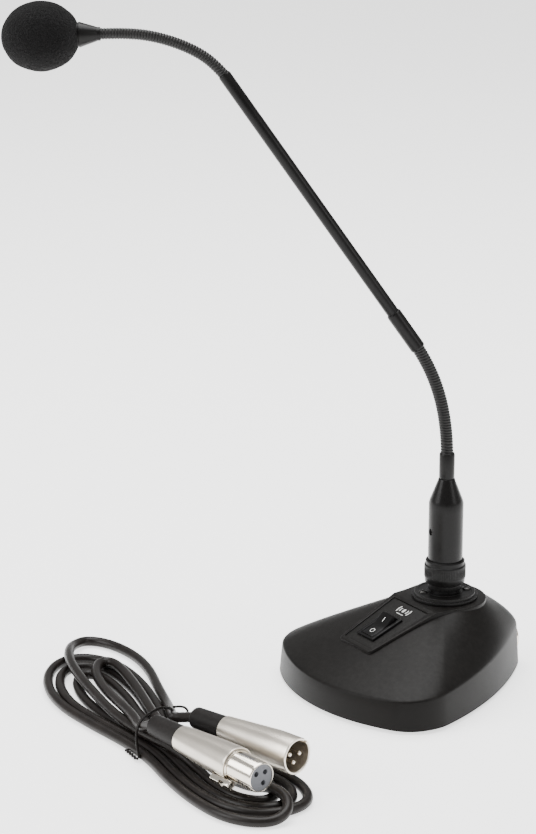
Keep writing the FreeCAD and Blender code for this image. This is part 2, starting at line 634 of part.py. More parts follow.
for number, (point, _, above) in enumerate(lower_joints[:-1], start=1):
    node(link(f"LowerLink{number}", "lower"), f"lower_link_{number}", neck_place(point, above))

sleeve_blank = turned("Sleeve", [
    ("wire_bore", "joint_gap"), ("sleeve_radius - sleeve_chamfer", "joint_gap"),
    ("sleeve_radius", "joint_gap + sleeve_chamfer"), ("sleeve_radius", "sleeve_length - sleeve_chamfer"),
    ("sleeve_radius - sleeve_chamfer / 2", "sleeve_length"), ("tube_radius + 0.03", "sleeve_length"),
    ("tube_radius + 0.03", "sleeve_seat"), ("wire_bore", "sleeve_seat")])
node(cut("SleeveCupped", sleeve_blank, cup("SleeveCup", "lower")), "neck_sleeve",
     neck_place(sleeve_point, tube_angle))

tube_blank = turned("MiddleTube", [
    ("tube_bore", "sleeve_seat + 0.05"), ("tube_radius", "sleeve_seat + 0.05"),
    ("tube_radius", "tube_end - joint_gap - 0.4"), ("tube_radius - 0.4", "tube_end - joint_gap"),
    ("0", "tube_end - joint_gap"), ("0", "tube_end - tube_cap"), ("tube_bore", "tube_end - tube_cap")])
node(cut("TubeDrilled", fused("TubeWhole", tube_blank, ball("TubeBall", "upper_ball", size.tube_end)),
         rod("TubeTipBore", "wire_bore", "30", at(z=size.tube_end - 15))), "middle_tube",
     neck_place(sleeve_point, tube_angle))

for number, (point, _, above) in enumerate(upper_joints[:-1], start=1):
    node(link(f"UpperLink{number}", "upper"), f"upper_link_{number}", neck_place(point, above))

# ---------------------------------------------------------------- head

head_place = neck_place(head_point, head_angle)
head_blank = turned("HeadHousing", [
    ("wire_bore", "joint_gap"), ("head_neck_radius", "joint_gap"), ("head_neck_radius", "head_neck_length"),
    ("head_cone_radius", "head_cone_length"), ("head_tube_radius", "head_cone_length + 0.3"),
    ("head_tube_radius", "head_tube_length"), ("head_tube_bore", "head_tube_length"),
    ("head_tube_bore", "head_tube_floor"), ("wire_bore", "head_tube_floor")])
node(cut("HeadCupped", head_blank, cup("HeadCup", "upper")), "head_housing", head_place)
node(turned("Capsule", [
    ("0", "capsule_bottom"), ("capsule_radius", "capsule_bottom"),
    ("capsule_radius", "capsule_bottom + capsule_length"), ("0", "capsule_bottom + capsule_length")]),
    "capsule", head_place)
grille_blank = turned("Grille", [
    ("0", "head_tube_length - grille_thickness"),
    ("head_tube_bore - 0.05", "head_tube_length - grille_thickness"),
    ("head_tube_bore - 0.05", "head_tube_length"), ("0", "head_tube_length")])
grille_spots = [at(z=size.head_tube_length - 5)]
for ring_radius, hole_count in ((2, 6), (4, 12)):
    grille_spots += ring_places(ring_radius, [k * 360 / hole_count for k in range(hole_count)],
                                size.head_tube_length - 5)
grille_holes = [rod(f"GrilleHole{k}", "grille_hole", "10", spot) for k, spot in enumerate(grille_spots)]
node(cut("GrilleDrilled", grille_blank, *grille_holes), "capsule_grille", head_place)
foam = primitive("Ellipsoid", "Foam", at(z=size.foam_centre), Radius1="foam_half_length",
                 Radius2="foam_radius", Radius3="foam_radius")
foam.Angle1, foam.Angle2, foam.Angle3 = -90, 90, 360
foam_hole = rod("FoamHole", "foam_bore", "foam_bore_end - head_cone_length + 5",
                at(z=size.head_cone_length - 5))
node(cut("Windscreen", foam, foam_hole), "windscreen", head_place)

# ---------------------------------------------------------------- output connector

to_the_back = Rotation(X, -90)
output_place = at(z=size.output_height, turn=to_the_back)
node(turned("OutputHousing", [
    ("output_bore", "output_inner"), ("output_radius", "output_inner"),
    ("output_radius", "output_mouth - 0.6"), ("output_radius - 0.6", "output_mouth"),
    ("output_bore", "output_mouth")]), "output_housing", output_place)
output_disc = rod("OutputDisc", "output_bore - 0.04", "output_floor - output_inner",
                  at(z=size.output_inner))
output_holes = [rod(f"OutputHole{k}", "pin_radius + 0.03", "30", place)
                for k, place in enumerate(ring_places(size.pin_circle, PIN_ANGLES, 20))]
node(cut("OutputInsert", output_disc, *output_holes), "output_insert", output_place)
node(group("OutputPins", *[rod(f"OutputPin{k}", "pin_radius", "output_pin_front - output_pin_back", place)
                           for k, place in enumerate(ring_places(size.pin_circle, PIN_ANGLES,
                                                                 size.output_pin_back))]),
     "output_pins", output_place)

# ---------------------------------------------------------------- cable connectors

def lying(foot, heading, roll=0):
    """A frame whose Z runs along a connector, from the foot of its boot."""
    turn = Rotation(Z, heading).multiply(Rotation(Y, 90)).multiply(Rotation(Z, roll))
    return Placement(foot + Z * size.connector_height, turn)


female_place = lying(FEMALE_FOOT, FEMALE_HEADING)
male_place = lying(MALE_FOOT, MALE_HEADING)

for kind, end, place in (("female", "female_boot_length", female_place),
                         ("male", "male_boot_length", male_place)):
    node(turned(kind.title() + "Boot", [
        ("boot_bore", "0"), ("boot_start_radius", "0"), ("boot_end_radius", end), ("boot_bore", end)]),
        f"{kind}_boot", place)

female_shell = turned("FemaleShell", [
    ("shell_back_bore", "female_boot_length + 0.02"), ("shell_back_radius", "female_boot_length + 0.02"),
    ("shell_radius", "female_shell_end"), ("shell_bore", "female_shell_end"),
    ("shell_bore", "female_nose_start")])
latch_slot = primitive("Box", "LatchSlot", at(7, -size.latch_slot / 2, size.latch_slot_start),
                       Length="8", Width="latch_slot", Height="20")
latch_turn = Rotation(Z, size.latch_turn)
latch_slot.Placement = Placement(Vector(), latch_turn).multiply(latch_slot.Placement)
node(cut("FemaleShellSlotted", female_shell, latch_slot), "female_shell", female_place)
node(turned("FemaleNose", [
    ("female_nose_bore", "female_nose_start"), ("shell_bore - 0.04", "female_nose_start + 1.5"),
    ("shell_bore - 0.04", "female_shell_end"), ("female_nose_radius", "female_shell_end"),
    ("female_nose_radius", "female_nose_end"), ("female_nose_bore", "female_nose_end")]),
    "female_nose", female_place)
female_plug = rod("FemalePlug", "female_nose_bore - 0.04",
                  "female_nose_end - female_nose_start - female_insert_set", at(z=size.female_nose_start))
female_holes = [rod(f"FemaleHole{k}", "female_hole", "female_hole_depth + 5", place)
                for k, place in enumerate(ring_places(
                    size.pin_circle, [angle + size.female_roll for angle in PIN_ANGLES],
                    size.female_nose_end - size.female_hole_depth))]
node(cut("FemaleInsert", female_plug, *female_holes), "female_insert", female_place)
latch = plate("FemaleLatch", [
    ("latch_inner", "-latch_width / 2"), ("latch_outer", "-latch_width / 2"),
    ("latch_outer", "latch_width / 2"), ("latch_inner", "latch_width / 2")], "latch_end - latch_start")
node(latch, "female_latch", female_place.multiply(
    Placement(Vector(0, 0, size.latch_start), latch_turn)))

node(turned("MaleShell", [
    ("shell_back_bore", "male_boot_length + 0.02"), ("shell_back_radius", "male_boot_length + 0.02"),
    ("shell_radius", "male_floor"), ("shell_radius", "male_mouth"), ("output_bore", "male_mouth"),
    ("output_bore", "male_insert_back")]), "male_shell", male_place)
male_disc = rod("MaleDisc", "output_bore - 0.04", "male_floor - male_insert_back",
                at(z=size.male_insert_back))
male_angles = [angle + size.male_roll for angle in PIN_ANGLES]
male_holes = [rod(f"MaleHole{k}", "pin_radius + 0.03", "30", place)
              for k, place in enumerate(ring_places(size.pin_circle, male_angles,
                                                    size.male_insert_back - 10))]
node(cut("MaleInsert", male_disc, *male_holes), "male_insert", male_place)
node(group("MalePins", *[rod(f"MalePin{k}", "pin_radius", "male_pin_end - male_insert_back + 4", place)
                         for k, place in enumerate(ring_places(size.pin_circle, male_angles,
                                                               size.male_insert_back - 4))]),
     "male_pins", male_place)

# ---------------------------------------------------------------- the hank of cable and its tie

def lobe(name, centre_x, centre_y, half_length, half_width, height):
    outline = primitive("Ellipse", name + "Outline", at(size_of(centre_x), size_of(centre_y)),
                        MajorRadius=half_length, MinorRadius=half_width)
    solid = doc.addObject("Part::Extrusion", name)
    solid.Base, solid.DirMode, solid.Dir, solid.Solid = outline, "Custom", Z, True
    solid.setExpression("LengthFwd", bound(height))
    return solid


fan = lobe("Fan", "fan_x", "fan_y", "fan_half_length", "fan_half_width", "fan_height")
near_loop = lobe("NearLoop", "loop_x", "loop_y", "loop_half_length", "loop_half_width", "loop_height")
waist_outline = primitive("Ellipse", "WaistOutline",
                          at(size.waist_start, size.waist_y, size.waist_z,
                             Rotation(Z, 90).multiply(Rotation(X, 90))),
                          MajorRadius="waist_half_width", MinorRadius="waist_half_height")
waist = doc.addObject("Part::Extrusion", "Waist")
waist.Base, waist.DirMode, waist.Dir, waist.Solid = waist_outline, "Custom", X, True
waist.setExpression("LengthFwd", bound("waist_end - waist_start"))
tie_room = primitive("Box", "TieRoom", at(size.tie_x - 1.2, size.waist_y - 30, -1),
                     Length="2.4", Width="60", Height="30")
hank = cut("HankParted", fused("Hank", fan, near_loop), tie_room)
node(fused("CableHank", hank, waist), "cable_hank")

tie_path = Part.Ellipse(Vector(0, 0, 0), size.tie_half_width, size.tie_half_height).toShape()
tie_section = Part.Circle(Vector(size.tie_half_width, 0, 0), Y, size.tie_radius).toShape()
tie = Part.Wire(tie_path).makePipeShell([Part.Wire(tie_section)], True, False)
node(feature("CableTie", tie), "cable_tie",
     at(size.tie_x, size.waist_y, size.waist_z, Rotation(Z, 90).multiply(Rotation(X, 90))))

# ---------------------------------------------------------------- checks and export

doc.recompute()
for thing in doc.Objects:
    if {"Invalid", "Error"} & set(thing.State):
        raise RuntimeError(f"{thing.Label} did not compute: {thing.State}")
for piece in nodes:
    if piece.Shape.isNull() or not piece.Shape.isValid() or not piece.Shape.Solids:
        raise RuntimeError(f"{piece.Label} has no valid solid")
for piece in nodes:
    piece.Shape.exportStep(f"parts/{piece.Label}.step")
print(len(nodes), "nodes")
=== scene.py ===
import json
import math

import bmesh
import bpy
from bpy.props import FloatProperty, FloatVectorProperty, PointerProperty
from bpy.types import Operator, Panel, PropertyGroup
from mathutils import Matrix, Vector, noise

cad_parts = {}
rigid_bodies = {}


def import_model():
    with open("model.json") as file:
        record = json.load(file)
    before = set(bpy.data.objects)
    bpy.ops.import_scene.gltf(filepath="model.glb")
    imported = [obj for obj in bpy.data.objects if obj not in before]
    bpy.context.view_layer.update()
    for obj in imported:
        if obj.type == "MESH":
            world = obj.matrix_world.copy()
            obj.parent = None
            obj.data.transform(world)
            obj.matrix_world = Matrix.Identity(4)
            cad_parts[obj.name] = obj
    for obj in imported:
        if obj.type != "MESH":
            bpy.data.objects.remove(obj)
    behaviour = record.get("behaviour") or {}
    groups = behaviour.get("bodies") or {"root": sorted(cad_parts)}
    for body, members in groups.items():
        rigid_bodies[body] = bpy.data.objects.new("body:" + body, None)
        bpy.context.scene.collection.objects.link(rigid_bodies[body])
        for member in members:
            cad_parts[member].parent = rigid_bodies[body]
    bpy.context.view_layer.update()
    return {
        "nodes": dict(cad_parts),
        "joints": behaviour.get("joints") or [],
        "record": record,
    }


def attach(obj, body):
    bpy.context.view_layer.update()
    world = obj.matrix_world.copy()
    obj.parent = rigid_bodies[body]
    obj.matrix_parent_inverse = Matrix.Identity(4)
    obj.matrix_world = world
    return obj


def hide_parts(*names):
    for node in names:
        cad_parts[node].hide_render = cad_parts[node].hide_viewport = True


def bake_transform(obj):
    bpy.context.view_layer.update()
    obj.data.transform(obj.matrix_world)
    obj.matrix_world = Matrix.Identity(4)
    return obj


bl_info = {
    "name": "Gooseneck Desk Microphone",
    "version": (1, 0, 0),
    "blender": (4, 5, 0),
    "location": "3D View > Sidebar > Desk Microphone",
    "description": "Builds a gooseneck desk microphone with its base, neck, foam ball and cable",
    "category": "Object",
}

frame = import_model()
NODES = frame["nodes"]
JOINTS = {joint["name"]: joint for joint in frame["joints"]}
MM = 0.001

LOWER_JOINTS = ("lower_bend", "lower_sway", "lower_bend_2", "lower_sway_2", "lower_bend_3", "lower_sway_3")
UPPER_JOINTS = ("upper_bend", "upper_sway", "upper_bend_2", "upper_sway_2", "upper_bend_3", "upper_sway_3",
                "upper_bend_4")


def pivot(name):
    return Vector(JOINTS[name]["pos_m"])


# ---------------------------------------------------------------- sizes and colours

TURNING_LINES = 5200
OUTPUT_HEIGHT = 13.8
SLOPE_SPOT, SLOPE_ANGLE = (0, -43.5, 36.6), math.radians(21.3)
CONTACT_ANGLES, CONTACT_CIRCLE, CONTACT_RADIUS = (12, 168, 270), 3.6, 1.2


def length(name, description, default):
    return FloatProperty(name=name, description=description, default=default, unit="LENGTH",
                         subtype="DISTANCE", precision=5)


def colour(name, description, default):
    return FloatVectorProperty(name=name, description=description, default=default, subtype="COLOR",
                               min=0, max=1)


class MicSizes(PropertyGroup):
    """Sizes that change the microphone's finish but not its working parts."""
    crease: length("Crease", "Width of the rounding along the edge of the base's dome", 0.0009)
    border: length("Border", "Rounding of the raised border round the label panel", 0.0005)
    wall: length("Wall", "Thickness of the base's cover", 0.0025)
    knurl: length("Knurl", "Depth of the flutes on the lock ring", 0.00022)
    rib_pitch: length("Rib pitch", "Distance between turns of the flexible neck's winding", 0.0015)
    rib_depth: length("Rib depth", "Depth of the groove between turns of the winding", 0.00048)
    pore: length("Pore", "Depth of the open pores in the foam ball", 0.0005)
    cable: length("Cable", "Diameter of the cable", 0.0055)
    tie: length("Tie", "Diameter of the wire tie", 0.0015)
    print_height: length("Print", "Thickness of the printed marks", 0.00006)


class MicColours(PropertyGroup):
    """Colours of the microphone's finishes."""
    cover: colour("Cover", "Moulded cover of the base", (0.0035, 0.003, 0.0026))
    panel: colour("Panel", "Label panel", (0.006, 0.0056, 0.0052))
    switch: colour("Switch", "Rocker switch and its bezel", (0.004, 0.0038, 0.0038))
    print: colour("Print", "Printed marks", (0.62, 0.62, 0.60))
    metal: colour("Black metal", "Black finish of the plug, tube, collar and head", (0.0038, 0.0035, 0.0034))
    winding: colour("Winding", "Flexible neck's winding", (0.0045, 0.0042, 0.004))
    foam: colour("Foam", "Windscreen foam", (0.0035, 0.0032, 0.0032))
    nickel: colour("Nickel", "Satin nickel of the cable's connectors", (0.74, 0.685, 0.60))
    jacket: colour("Jacket", "Cable's jacket", (0.0075, 0.0058, 0.005))
    rubber: colour("Rubber", "Boots and pads", (0.007, 0.006, 0.0056))
    insulator: colour("Insulator", "Grey insert of the cable's socket", (0.17, 0.175, 0.19))
    floor: colour("Floor", "Plain floor and backdrop", (0.94, 0.94, 0.938))


FINISHES = {}


# ---------------------------------------------------------------- finishes

class Value:
    """A socket in an expression: arithmetic on it adds Math nodes."""

    def __init__(self, finish, socket):
        self.finish, self.socket = finish, socket

    def _maths(self, operation, *parts):
        return self.finish.node("ShaderNodeMath", {"operation": operation}, dict(enumerate(parts)))

    def __add__(self, other):
        return self._maths("ADD", self, other)

    def __sub__(self, other):
        return self._maths("SUBTRACT", self, other)

    def __rsub__(self, other):
        return self._maths("SUBTRACT", other, self)

    def __mul__(self, other):
        return self._maths("MULTIPLY", self, other)

    def above(self, edge, softness):
        """0 below the edge and 1 above it, with a soft step between."""
        return self.finish.node("ShaderNodeMapRange", {"interpolation_type": "SMOOTHSTEP"},
                                {"Value": self, "From Min": edge - softness, "From Max": edge + softness})

    __radd__ = __add__
    __rmul__ = __mul__


class Finish:
    """A material on the principled shader, with the nodes that vary it."""

    def __init__(self, name, roughness=0.5, metallic=0.0, **constants):
        self.material = bpy.data.materials.new(name)
        self.material.use_nodes = True
        self.tree = self.material.node_tree
        self.shader = self.tree.nodes["Principled BSDF"]
        self.set(roughness=roughness, metallic=metallic, **constants)

    def node(self, kind, settings=None, inputs=None, output=0):
        node = self.tree.nodes.new(kind)
        for name, setting in (settings or {}).items():
            if name == "stops":
                ramp = node.color_ramp
                for place, (at, shade) in enumerate(setting):
                    stop = ramp.elements[place] if place < 2 else ramp.elements.new(at)
                    stop.position, stop.color = at, shade
            else:
                setattr(node, name, setting)
        for key, value in (inputs or {}).items():
            self.feed(node.inputs[key], value)
        return Value(self, node.outputs[output])

    def feed(self, socket, value):
        if isinstance(value, Value):
            self.tree.links.new(value.socket, socket)
        else:
            socket.default_value = value

    def set(self, **values):
        """Feed the shader's sockets by name, with spaces for underscores."""
        for name, value in values.items():
            self.feed(self.shader.inputs[name.replace("_", " ").title().replace("Ior", "IOR")], value)
        return self

    def place(self, stretch=(1, 1, 1), turn=(0, 0, 0)):
        """Object coordinates, turned and then stretched."""
        spot = self.node("ShaderNodeTexCoord", output="Object")
        if turn != (0, 0, 0):
            spot = self.node("ShaderNodeMapping", None, {"Vector": spot, "Rotation": turn})
        if stretch != (1, 1, 1):
            spot = self.node("ShaderNodeVectorMath", {"operation": "MULTIPLY"}, {0: spot, 1: stretch})
        return spot

    def clouds(self, scale, detail=3.0, roughness=0.55, at=None):
        return self.node("ShaderNodeTexNoise", None, {
            "Vector": at or self.place(), "Scale": scale, "Detail": detail, "Roughness": roughness})

    def cells(self, scale):
        return self.node("ShaderNodeTexVoronoi", None, {"Vector": self.place(), "Scale": scale})

    def mark(self, name):
        return self.node("ShaderNodeAttribute", {"attribute_name": name}, output="Fac")

    def mix(self, share, first, second):
        """Share 0 gives the first colour and 1 the second."""
        def rgba(shade):
            return shade if isinstance(shade, Value) else (*shade[:3], 1.0)
        return self.node("ShaderNodeMix", {"data_type": "RGBA"}, {0: share, 6: rgba(first), 7: rgba(second)},
                         output=2)

    def relief(self, height, depth):
        """Bump the surface by a height of 0 to 1 times a depth in metres."""
        bump = self.node("ShaderNodeBump", None, {"Height": height, "Distance": depth})
        return self.set(normal=bump)


def shade(base, factor):
    return tuple(min(1.0, channel * factor) for channel in base)


def moulded(name, base, grain, depth, roughness, lift=1.35, dust=0.0):
    """Moulded plastic or rubber: fine spark grain, slow changes of tone, a little dust on top."""
    finish = Finish(name, specular_ior_level=0.12)
    fine = finish.clouds(grain, 2.0, 0.6)
    slow = finish.clouds(grain / 90, 3.0)
    tone = finish.mix(slow.above(0.5, 0.22), base, shade(base, lift))
    if dust:
        up = finish.node("ShaderNodeSeparateXYZ", None,
                         {0: finish.node("ShaderNodeNewGeometry", output="Normal")}, output="Z")
        share = up.above(0.55, 0.4) * finish.clouds(grain / 7, 4.0, 0.7).above(0.52, 0.2) * dust
        tone = finish.mix(share, tone, (0.20, 0.19, 0.18))
    finish.set(base_color=tone, roughness=roughness + (slow - 0.5) * 0.12 + (fine - 0.5) * 0.06)
    return finish.relief(fine, depth)


def turned_metal(name, base, metallic, roughness, depth=0.000004, wear=1.5):
    """Turned metal with fine lines round its own axis, read from the piece's own height attribute."""
    finish = Finish(name, metallic=metallic, specular_ior_level=0.16)
    height = finish.mark("lathe")
    rings = finish.node("ShaderNodeTexNoise", {"noise_dimensions": "1D"},
                        {"W": height * TURNING_LINES, "Detail": 3.0, "Roughness": 0.7})
    smears = finish.clouds(70, 4.0, 0.6)
    grain = finish.clouds(3800, 2.0)
    finish.set(base_color=finish.mix(smears.above(0.5, 0.25), base, shade(base, wear)),
               roughness=roughness + (rings - 0.5) * 0.12 + (smears - 0.5) * 0.16)
    return finish.relief(rings * 0.6 + grain * 0.4, depth)


def build_finishes(colours):
    """Every finish of the microphone, by name."""
    made = {}
    made["cover"] = moulded("satin_moulded_cover", colours.cover, 2600, 0.00003, 0.42, lift=1.3, dust=0.02)
    made["panel"] = moulded("matt_label_panel", colours.panel, 5200, 0.00002, 0.52, lift=1.2, dust=0.03)
    made["switch"] = moulded("satin_switch_plastic", colours.switch, 7000, 0.000006, 0.30, lift=1.4)
    made["rubber"] = moulded("smooth_black_rubber", colours.rubber, 2400, 0.000018, 0.50, lift=1.5, dust=0.03)
    made["metal"] = turned_metal("black_coated_metal", colours.metal, 0.0, 0.30)
    made["collar"] = turned_metal("black_collar_metal", colours.metal, 0.0, 0.36)
    made["nickel"] = turned_metal("satin_nickel", colours.nickel, 1.0, 0.34, wear=0.9, depth=0.000006)
    made["bright"] = turned_metal("bright_nickel", shade(colours.nickel, 1.12), 1.0, 0.17, wear=0.93,
                                  depth=0.000002)
    made["screw"] = turned_metal("blackened_screw", (0.035, 0.034, 0.033), 0.85, 0.32, wear=1.8)
    made["steel"] = steel_finish()
    made["winding"] = winding_finish(colours)
    made["foam"] = foam_finish(colours)
    made["jacket"] = jacket_finish(colours)
    made["tie"] = moulded("coated_tie_wire", shade(colours.jacket, 0.7), 3000, 0.00002, 0.42)
    made["print"] = print_finish(colours)
    made["insulator"] = moulded("grey_insulator", colours.insulator, 3000, 0.000012, 0.48, lift=0.85)
    made["black_insulator"] = moulded("black_insulator", (0.02, 0.02, 0.021), 3000, 0.000012, 0.42)
    made["board"] = board_finish()
    made["component"] = moulded("board_component", (0.03, 0.03, 0.034), 2600, 0.00001, 0.35, lift=1.8)
    made["iron"] = iron_finish()
    made["brass"] = turned_brass()
    made["pad"] = pad_finish(colours)
    return {key: finish.material for key, finish in made.items()}


def steel_finish():
    finish = Finish("zinc_plated_steel", metallic=1.0)
    streaks = finish.clouds(900, 4.0, 0.6, finish.place(stretch=(1, 0.05, 1)))
    spangle = finish.cells(160)
    finish.set(base_color=finish.mix(spangle, (0.50, 0.51, 0.52), (0.62, 0.62, 0.61)),
               roughness=0.30 + streaks * 0.18)
    return finish.relief(streaks, 0.00001)


def turned_brass():
    finish = Finish("turned_brass", metallic=1.0)
    smears = finish.clouds(240, 4.0, 0.6)
    finish.set(base_color=finish.mix(smears.above(0.5, 0.2), (0.72, 0.50, 0.22), (0.55, 0.36, 0.15)),
               roughness=0.24 + smears * 0.18)
    return finish.relief(smears, 0.00001)


def iron_finish():
    finish = Finish("cast_iron_ballast", metallic=0.85)
    pits = finish.cells(700)
    scale = finish.clouds(60, 5.0, 0.65)
    finish.set(base_color=finish.mix(scale.above(0.52, 0.12), (0.10, 0.098, 0.095), (0.16, 0.10, 0.07)),
               roughness=0.55 + (scale - 0.5) * 0.3)
    return finish.relief(pits * 0.5 + scale * 0.5, 0.0002)


def board_finish():
    finish = Finish("green_circuit_board", roughness=0.35)
    spot = finish.place(stretch=(1, 1, 0))
    tracks = finish.node("ShaderNodeTexBrick", {"offset": 0.5}, {
        "Vector": spot, "Scale": 160, "Mortar Size": 0.09, "Mortar Smooth": 0.1, "Brick Width": 0.9,
        "Row Height": 0.32}, output="Fac")
    mask = finish.clouds(120, 2.0, at=spot).above(0.5, 0.05)
    finish.set(base_color=finish.mix(tracks * mask, (0.012, 0.085, 0.035), (0.03, 0.16, 0.06)),
               roughness=0.38 - tracks * 0.1)
    return finish.relief(tracks * mask, 0.00004)


def pad_finish(colours):
    finish = Finish("foam_rubber_pad", roughness=0.9)
    cells = finish.cells(1500)
    slow = finish.clouds(90, 3.0)
    finish.set(base_color=finish.mix(cells * 0.6 + slow * 0.4, shade(colours.rubber, 0.7),
                                     shade(colours.rubber, 2.4)))
    return finish.relief(cells, 0.00015)


def print_finish(colours):
    """Screen-printed ink, slightly worn and uneven."""
    finish = Finish("screen_printed_ink", roughness=0.6)
    worn = finish.clouds(2200, 4.0, 0.7)
    finish.set(base_color=finish.mix(worn.above(0.62, 0.08), colours.print, shade(colours.print, 0.72)),
               roughness=0.5 + worn * 0.2)
    return finish.relief(worn, 0.00001)


def winding_finish(colours):
    """Blackened winding: crowns worn smoother and lighter than the grooves, the lightening partly wear and
    partly painted highlight; the grooves darker as painted shade.
    """
    finish = Finish("blackened_winding", specular_ior_level=0.25)
    crown = finish.mark("crown")
    grain = finish.clouds(3400, 3.0)
    patch = finish.clouds(130, 3.0)
    rubbed_and_highlight = crown.above(0.72, 0.25) * (0.55 + patch * 0.6)
    # Painted highlight on the crowns, partly wear, and painted shade in the grooves: colour from under half
    # the winding's colour in the grooves to over twice it on the crowns.
    finish.set(base_color=finish.mix(rubbed_and_highlight, shade(colours.winding, 0.45), shade(colours.winding, 2.3)),
               roughness=0.52 - rubbed_and_highlight * 0.16 + (grain - 0.5) * 0.1)
    return finish.relief(grain, 0.000012)


def foam_finish(colours):
    """Open-cell foam: pale cell threads with painted shade in the pores between them."""
    finish = Finish("open_cell_foam", roughness=0.95, specular_ior_level=0.15, sheen_weight=0.02,
                    sheen_roughness=0.6)
    pores = finish.cells(1150)
    small = finish.cells(2900)
    slow = finish.clouds(60, 3.0)
    # Painted shade: the pores take a quarter of the foam's colour, standing in for the shade inside them.
    strut_versus_pore_shade = (pores * 0.65 + small * 0.35).above(0.46, 0.3)
    base = finish.mix(slow, shade(colours.foam, 0.85), shade(colours.foam, 1.25))
    finish.set(base_color=finish.mix(strut_versus_pore_shade, shade(colours.foam, 0.25), base))
    return finish.relief(pores * 0.6 + small * 0.4, 0.0007)


def jacket_finish(colours):
    """Extruded jacket: faint draw lines, scuffs and a soft gloss."""
    finish = Finish("extruded_jacket", specular_ior_level=0.2)
    slow = finish.clouds(110, 4.0, 0.6)
    scuff = finish.clouds(700, 5.0, 0.7)
    fine = finish.clouds(3600, 2.0)
    worn = scuff.above(0.64, 0.06) * 0.5
    tone = finish.mix(slow.above(0.5, 0.2), colours.jacket, shade(colours.jacket, 1.5))
    finish.set(base_color=finish.mix(worn, tone, shade(colours.jacket, 2.6)),
               roughness=0.37 + (slow - 0.5) * 0.14 + worn * 0.2)
    return finish.relief(fine * 0.6 + scuff * 0.4, 0.00002)


# ---------------------------------------------------------------- modelling helpers

def finished(name, mesh, finish, body, place=None, smooth=35, outward=True, node=None):
    """Turn a bmesh into a piece at the origin that rides on a body."""
    if outward:
        bmesh.ops.recalc_face_normals(mesh, faces=mesh.faces)
    if place is not None:
        bmesh.ops.transform(mesh, matrix=place, verts=mesh.verts)
    data = bpy.data.meshes.new(name)
    mesh.to_mesh(data)
    mesh.free()
    for face in data.polygons:
        face.use_smooth = True
    data.set_sharp_from_angle(angle=math.radians(smooth))
    data.materials.append(FINISHES[finish])
    piece = bpy.data.objects.new(name, data)
    bpy.context.scene.collection.objects.link(piece)
    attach(piece, body)
    if node:
        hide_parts(node)
    return piece


def lathe(outline, steps=96, rounding=0.0, closed=False):
    """A surface turned about Z from pairs of radius and height in millimetres, corners rounded."""
    mesh = bmesh.new()
    lift = mesh.verts.layers.float.new("lathe")
    verts = [mesh.verts.new((radius * MM, 0, height * MM)) for radius, height in outline]
    pairs = list(zip(verts, verts[1:])) + ([(verts[-1], verts[0])] if closed else [])
    edges = [mesh.edges.new(pair) for pair in pairs]
    bmesh.ops.spin(mesh, geom=verts + edges, cent=(0, 0, 0), axis=(0, 0, 1), angle=math.tau, steps=steps,
                   use_merge=True, use_normal_flip=False, use_duplicate=False)
    bmesh.ops.remove_doubles(mesh, verts=mesh.verts, dist=1e-6)
    bmesh.ops.recalc_face_normals(mesh, faces=mesh.faces)
    if rounding:
        rings = [edge for edge in mesh.edges if len(edge.link_faces) == 2
                 and abs(edge.verts[0].co.z - edge.verts[1].co.z) < 1e-7
                 and edge.calc_face_angle(0) > math.radians(24)]
        bevelled(mesh, rings, rounding)
    for vert in mesh.verts:
        vert[lift] = vert.co.z
    return mesh


def bevelled(mesh, edges, width, segments=3):
    bmesh.ops.bevel(mesh, geom=edges, offset=width, offset_type="OFFSET", segments=segments, profile=0.5,
                    affect="EDGES", material=-1, clamp_overlap=True)


def extruded(mesh, faces, way):
    """Pull faces along a vector, leaving walls behind them."""
    grown = bmesh.ops.extrude_face_region(mesh, geom=faces)["geom"]
    bmesh.ops.translate(mesh, vec=way, verts=[item for item in grown if isinstance(item, bmesh.types.BMVert)])


def frame_along(point, way):
    """A frame at a point whose Z runs along a direction."""
    return Matrix.Translation(point) @ Vector(way).to_track_quat("Z", "Y").to_matrix().to_4x4()


def loose(mesh, name):
    """A bmesh as an object that is only used as a tool."""
    bmesh.ops.recalc_face_normals(mesh, faces=mesh.faces)
    data = bpy.data.meshes.new(name)
    mesh.to_mesh(data)
    mesh.free()
    tool = bpy.data.objects.new(name, data)
    bpy.context.scene.collection.objects.link(tool)
    return tool


def joined(mesh, steps):
    """The mesh after a chain of exact booleans, given as pairs of operation and tool mesh."""
    blank = loose(mesh, "blank")
    tools = []
    for operation, tool_mesh in steps:
        tool = loose(tool_mesh, "tool")
        change = blank.modifiers.new("join", "BOOLEAN")
        change.operation, change.object, change.solver = operation, tool, "EXACT"
        tools.append(tool)
    bpy.context.view_layer.update()
    graph = bpy.context.evaluated_depsgraph_get()
    result = bmesh.new()
    result.from_mesh(blank.evaluated_get(graph).to_mesh())
    for thing in (blank, *tools):
        data = thing.data
        bpy.data.objects.remove(thing)
        bpy.data.meshes.remove(data)
    bmesh.ops.remove_doubles(result, verts=result.verts, dist=2e-6)
    bmesh.ops.dissolve_degenerate(result, dist=1e-6, edges=result.edges)
    return result


def box_mesh(width, depth, height, centre):
    """A plain box as a tool or a start, in millimetres."""
    mesh = bmesh.new()
    bmesh.ops.create_cube(mesh, size=1, matrix=Matrix.Translation(Vector(centre) * MM)
                          @ Matrix.Diagonal((width * MM, depth * MM, height * MM, 1)))
    return mesh


def rod_mesh(radius, start, end, steps=48, tip=0.0):
    """A round bar between two points, in millimetres, with its far end rounded."""
    start, end = Vector(start), Vector(end)
    reach = (end - start).length
    mesh = lathe([(0, 0), (radius, 0), (radius, reach), (0, reach)], steps)
    if tip:
        rim = [edge for edge in mesh.edges if all(vert.co.z > (reach - 0.01) * MM for vert in edge.verts)
               and edge.calc_face_angle(0) > 1]
        bevelled(mesh, rim, tip * MM, 4)
    bmesh.ops.transform(mesh, matrix=frame_along(start * MM, end - start), verts=mesh.verts)
    return mesh


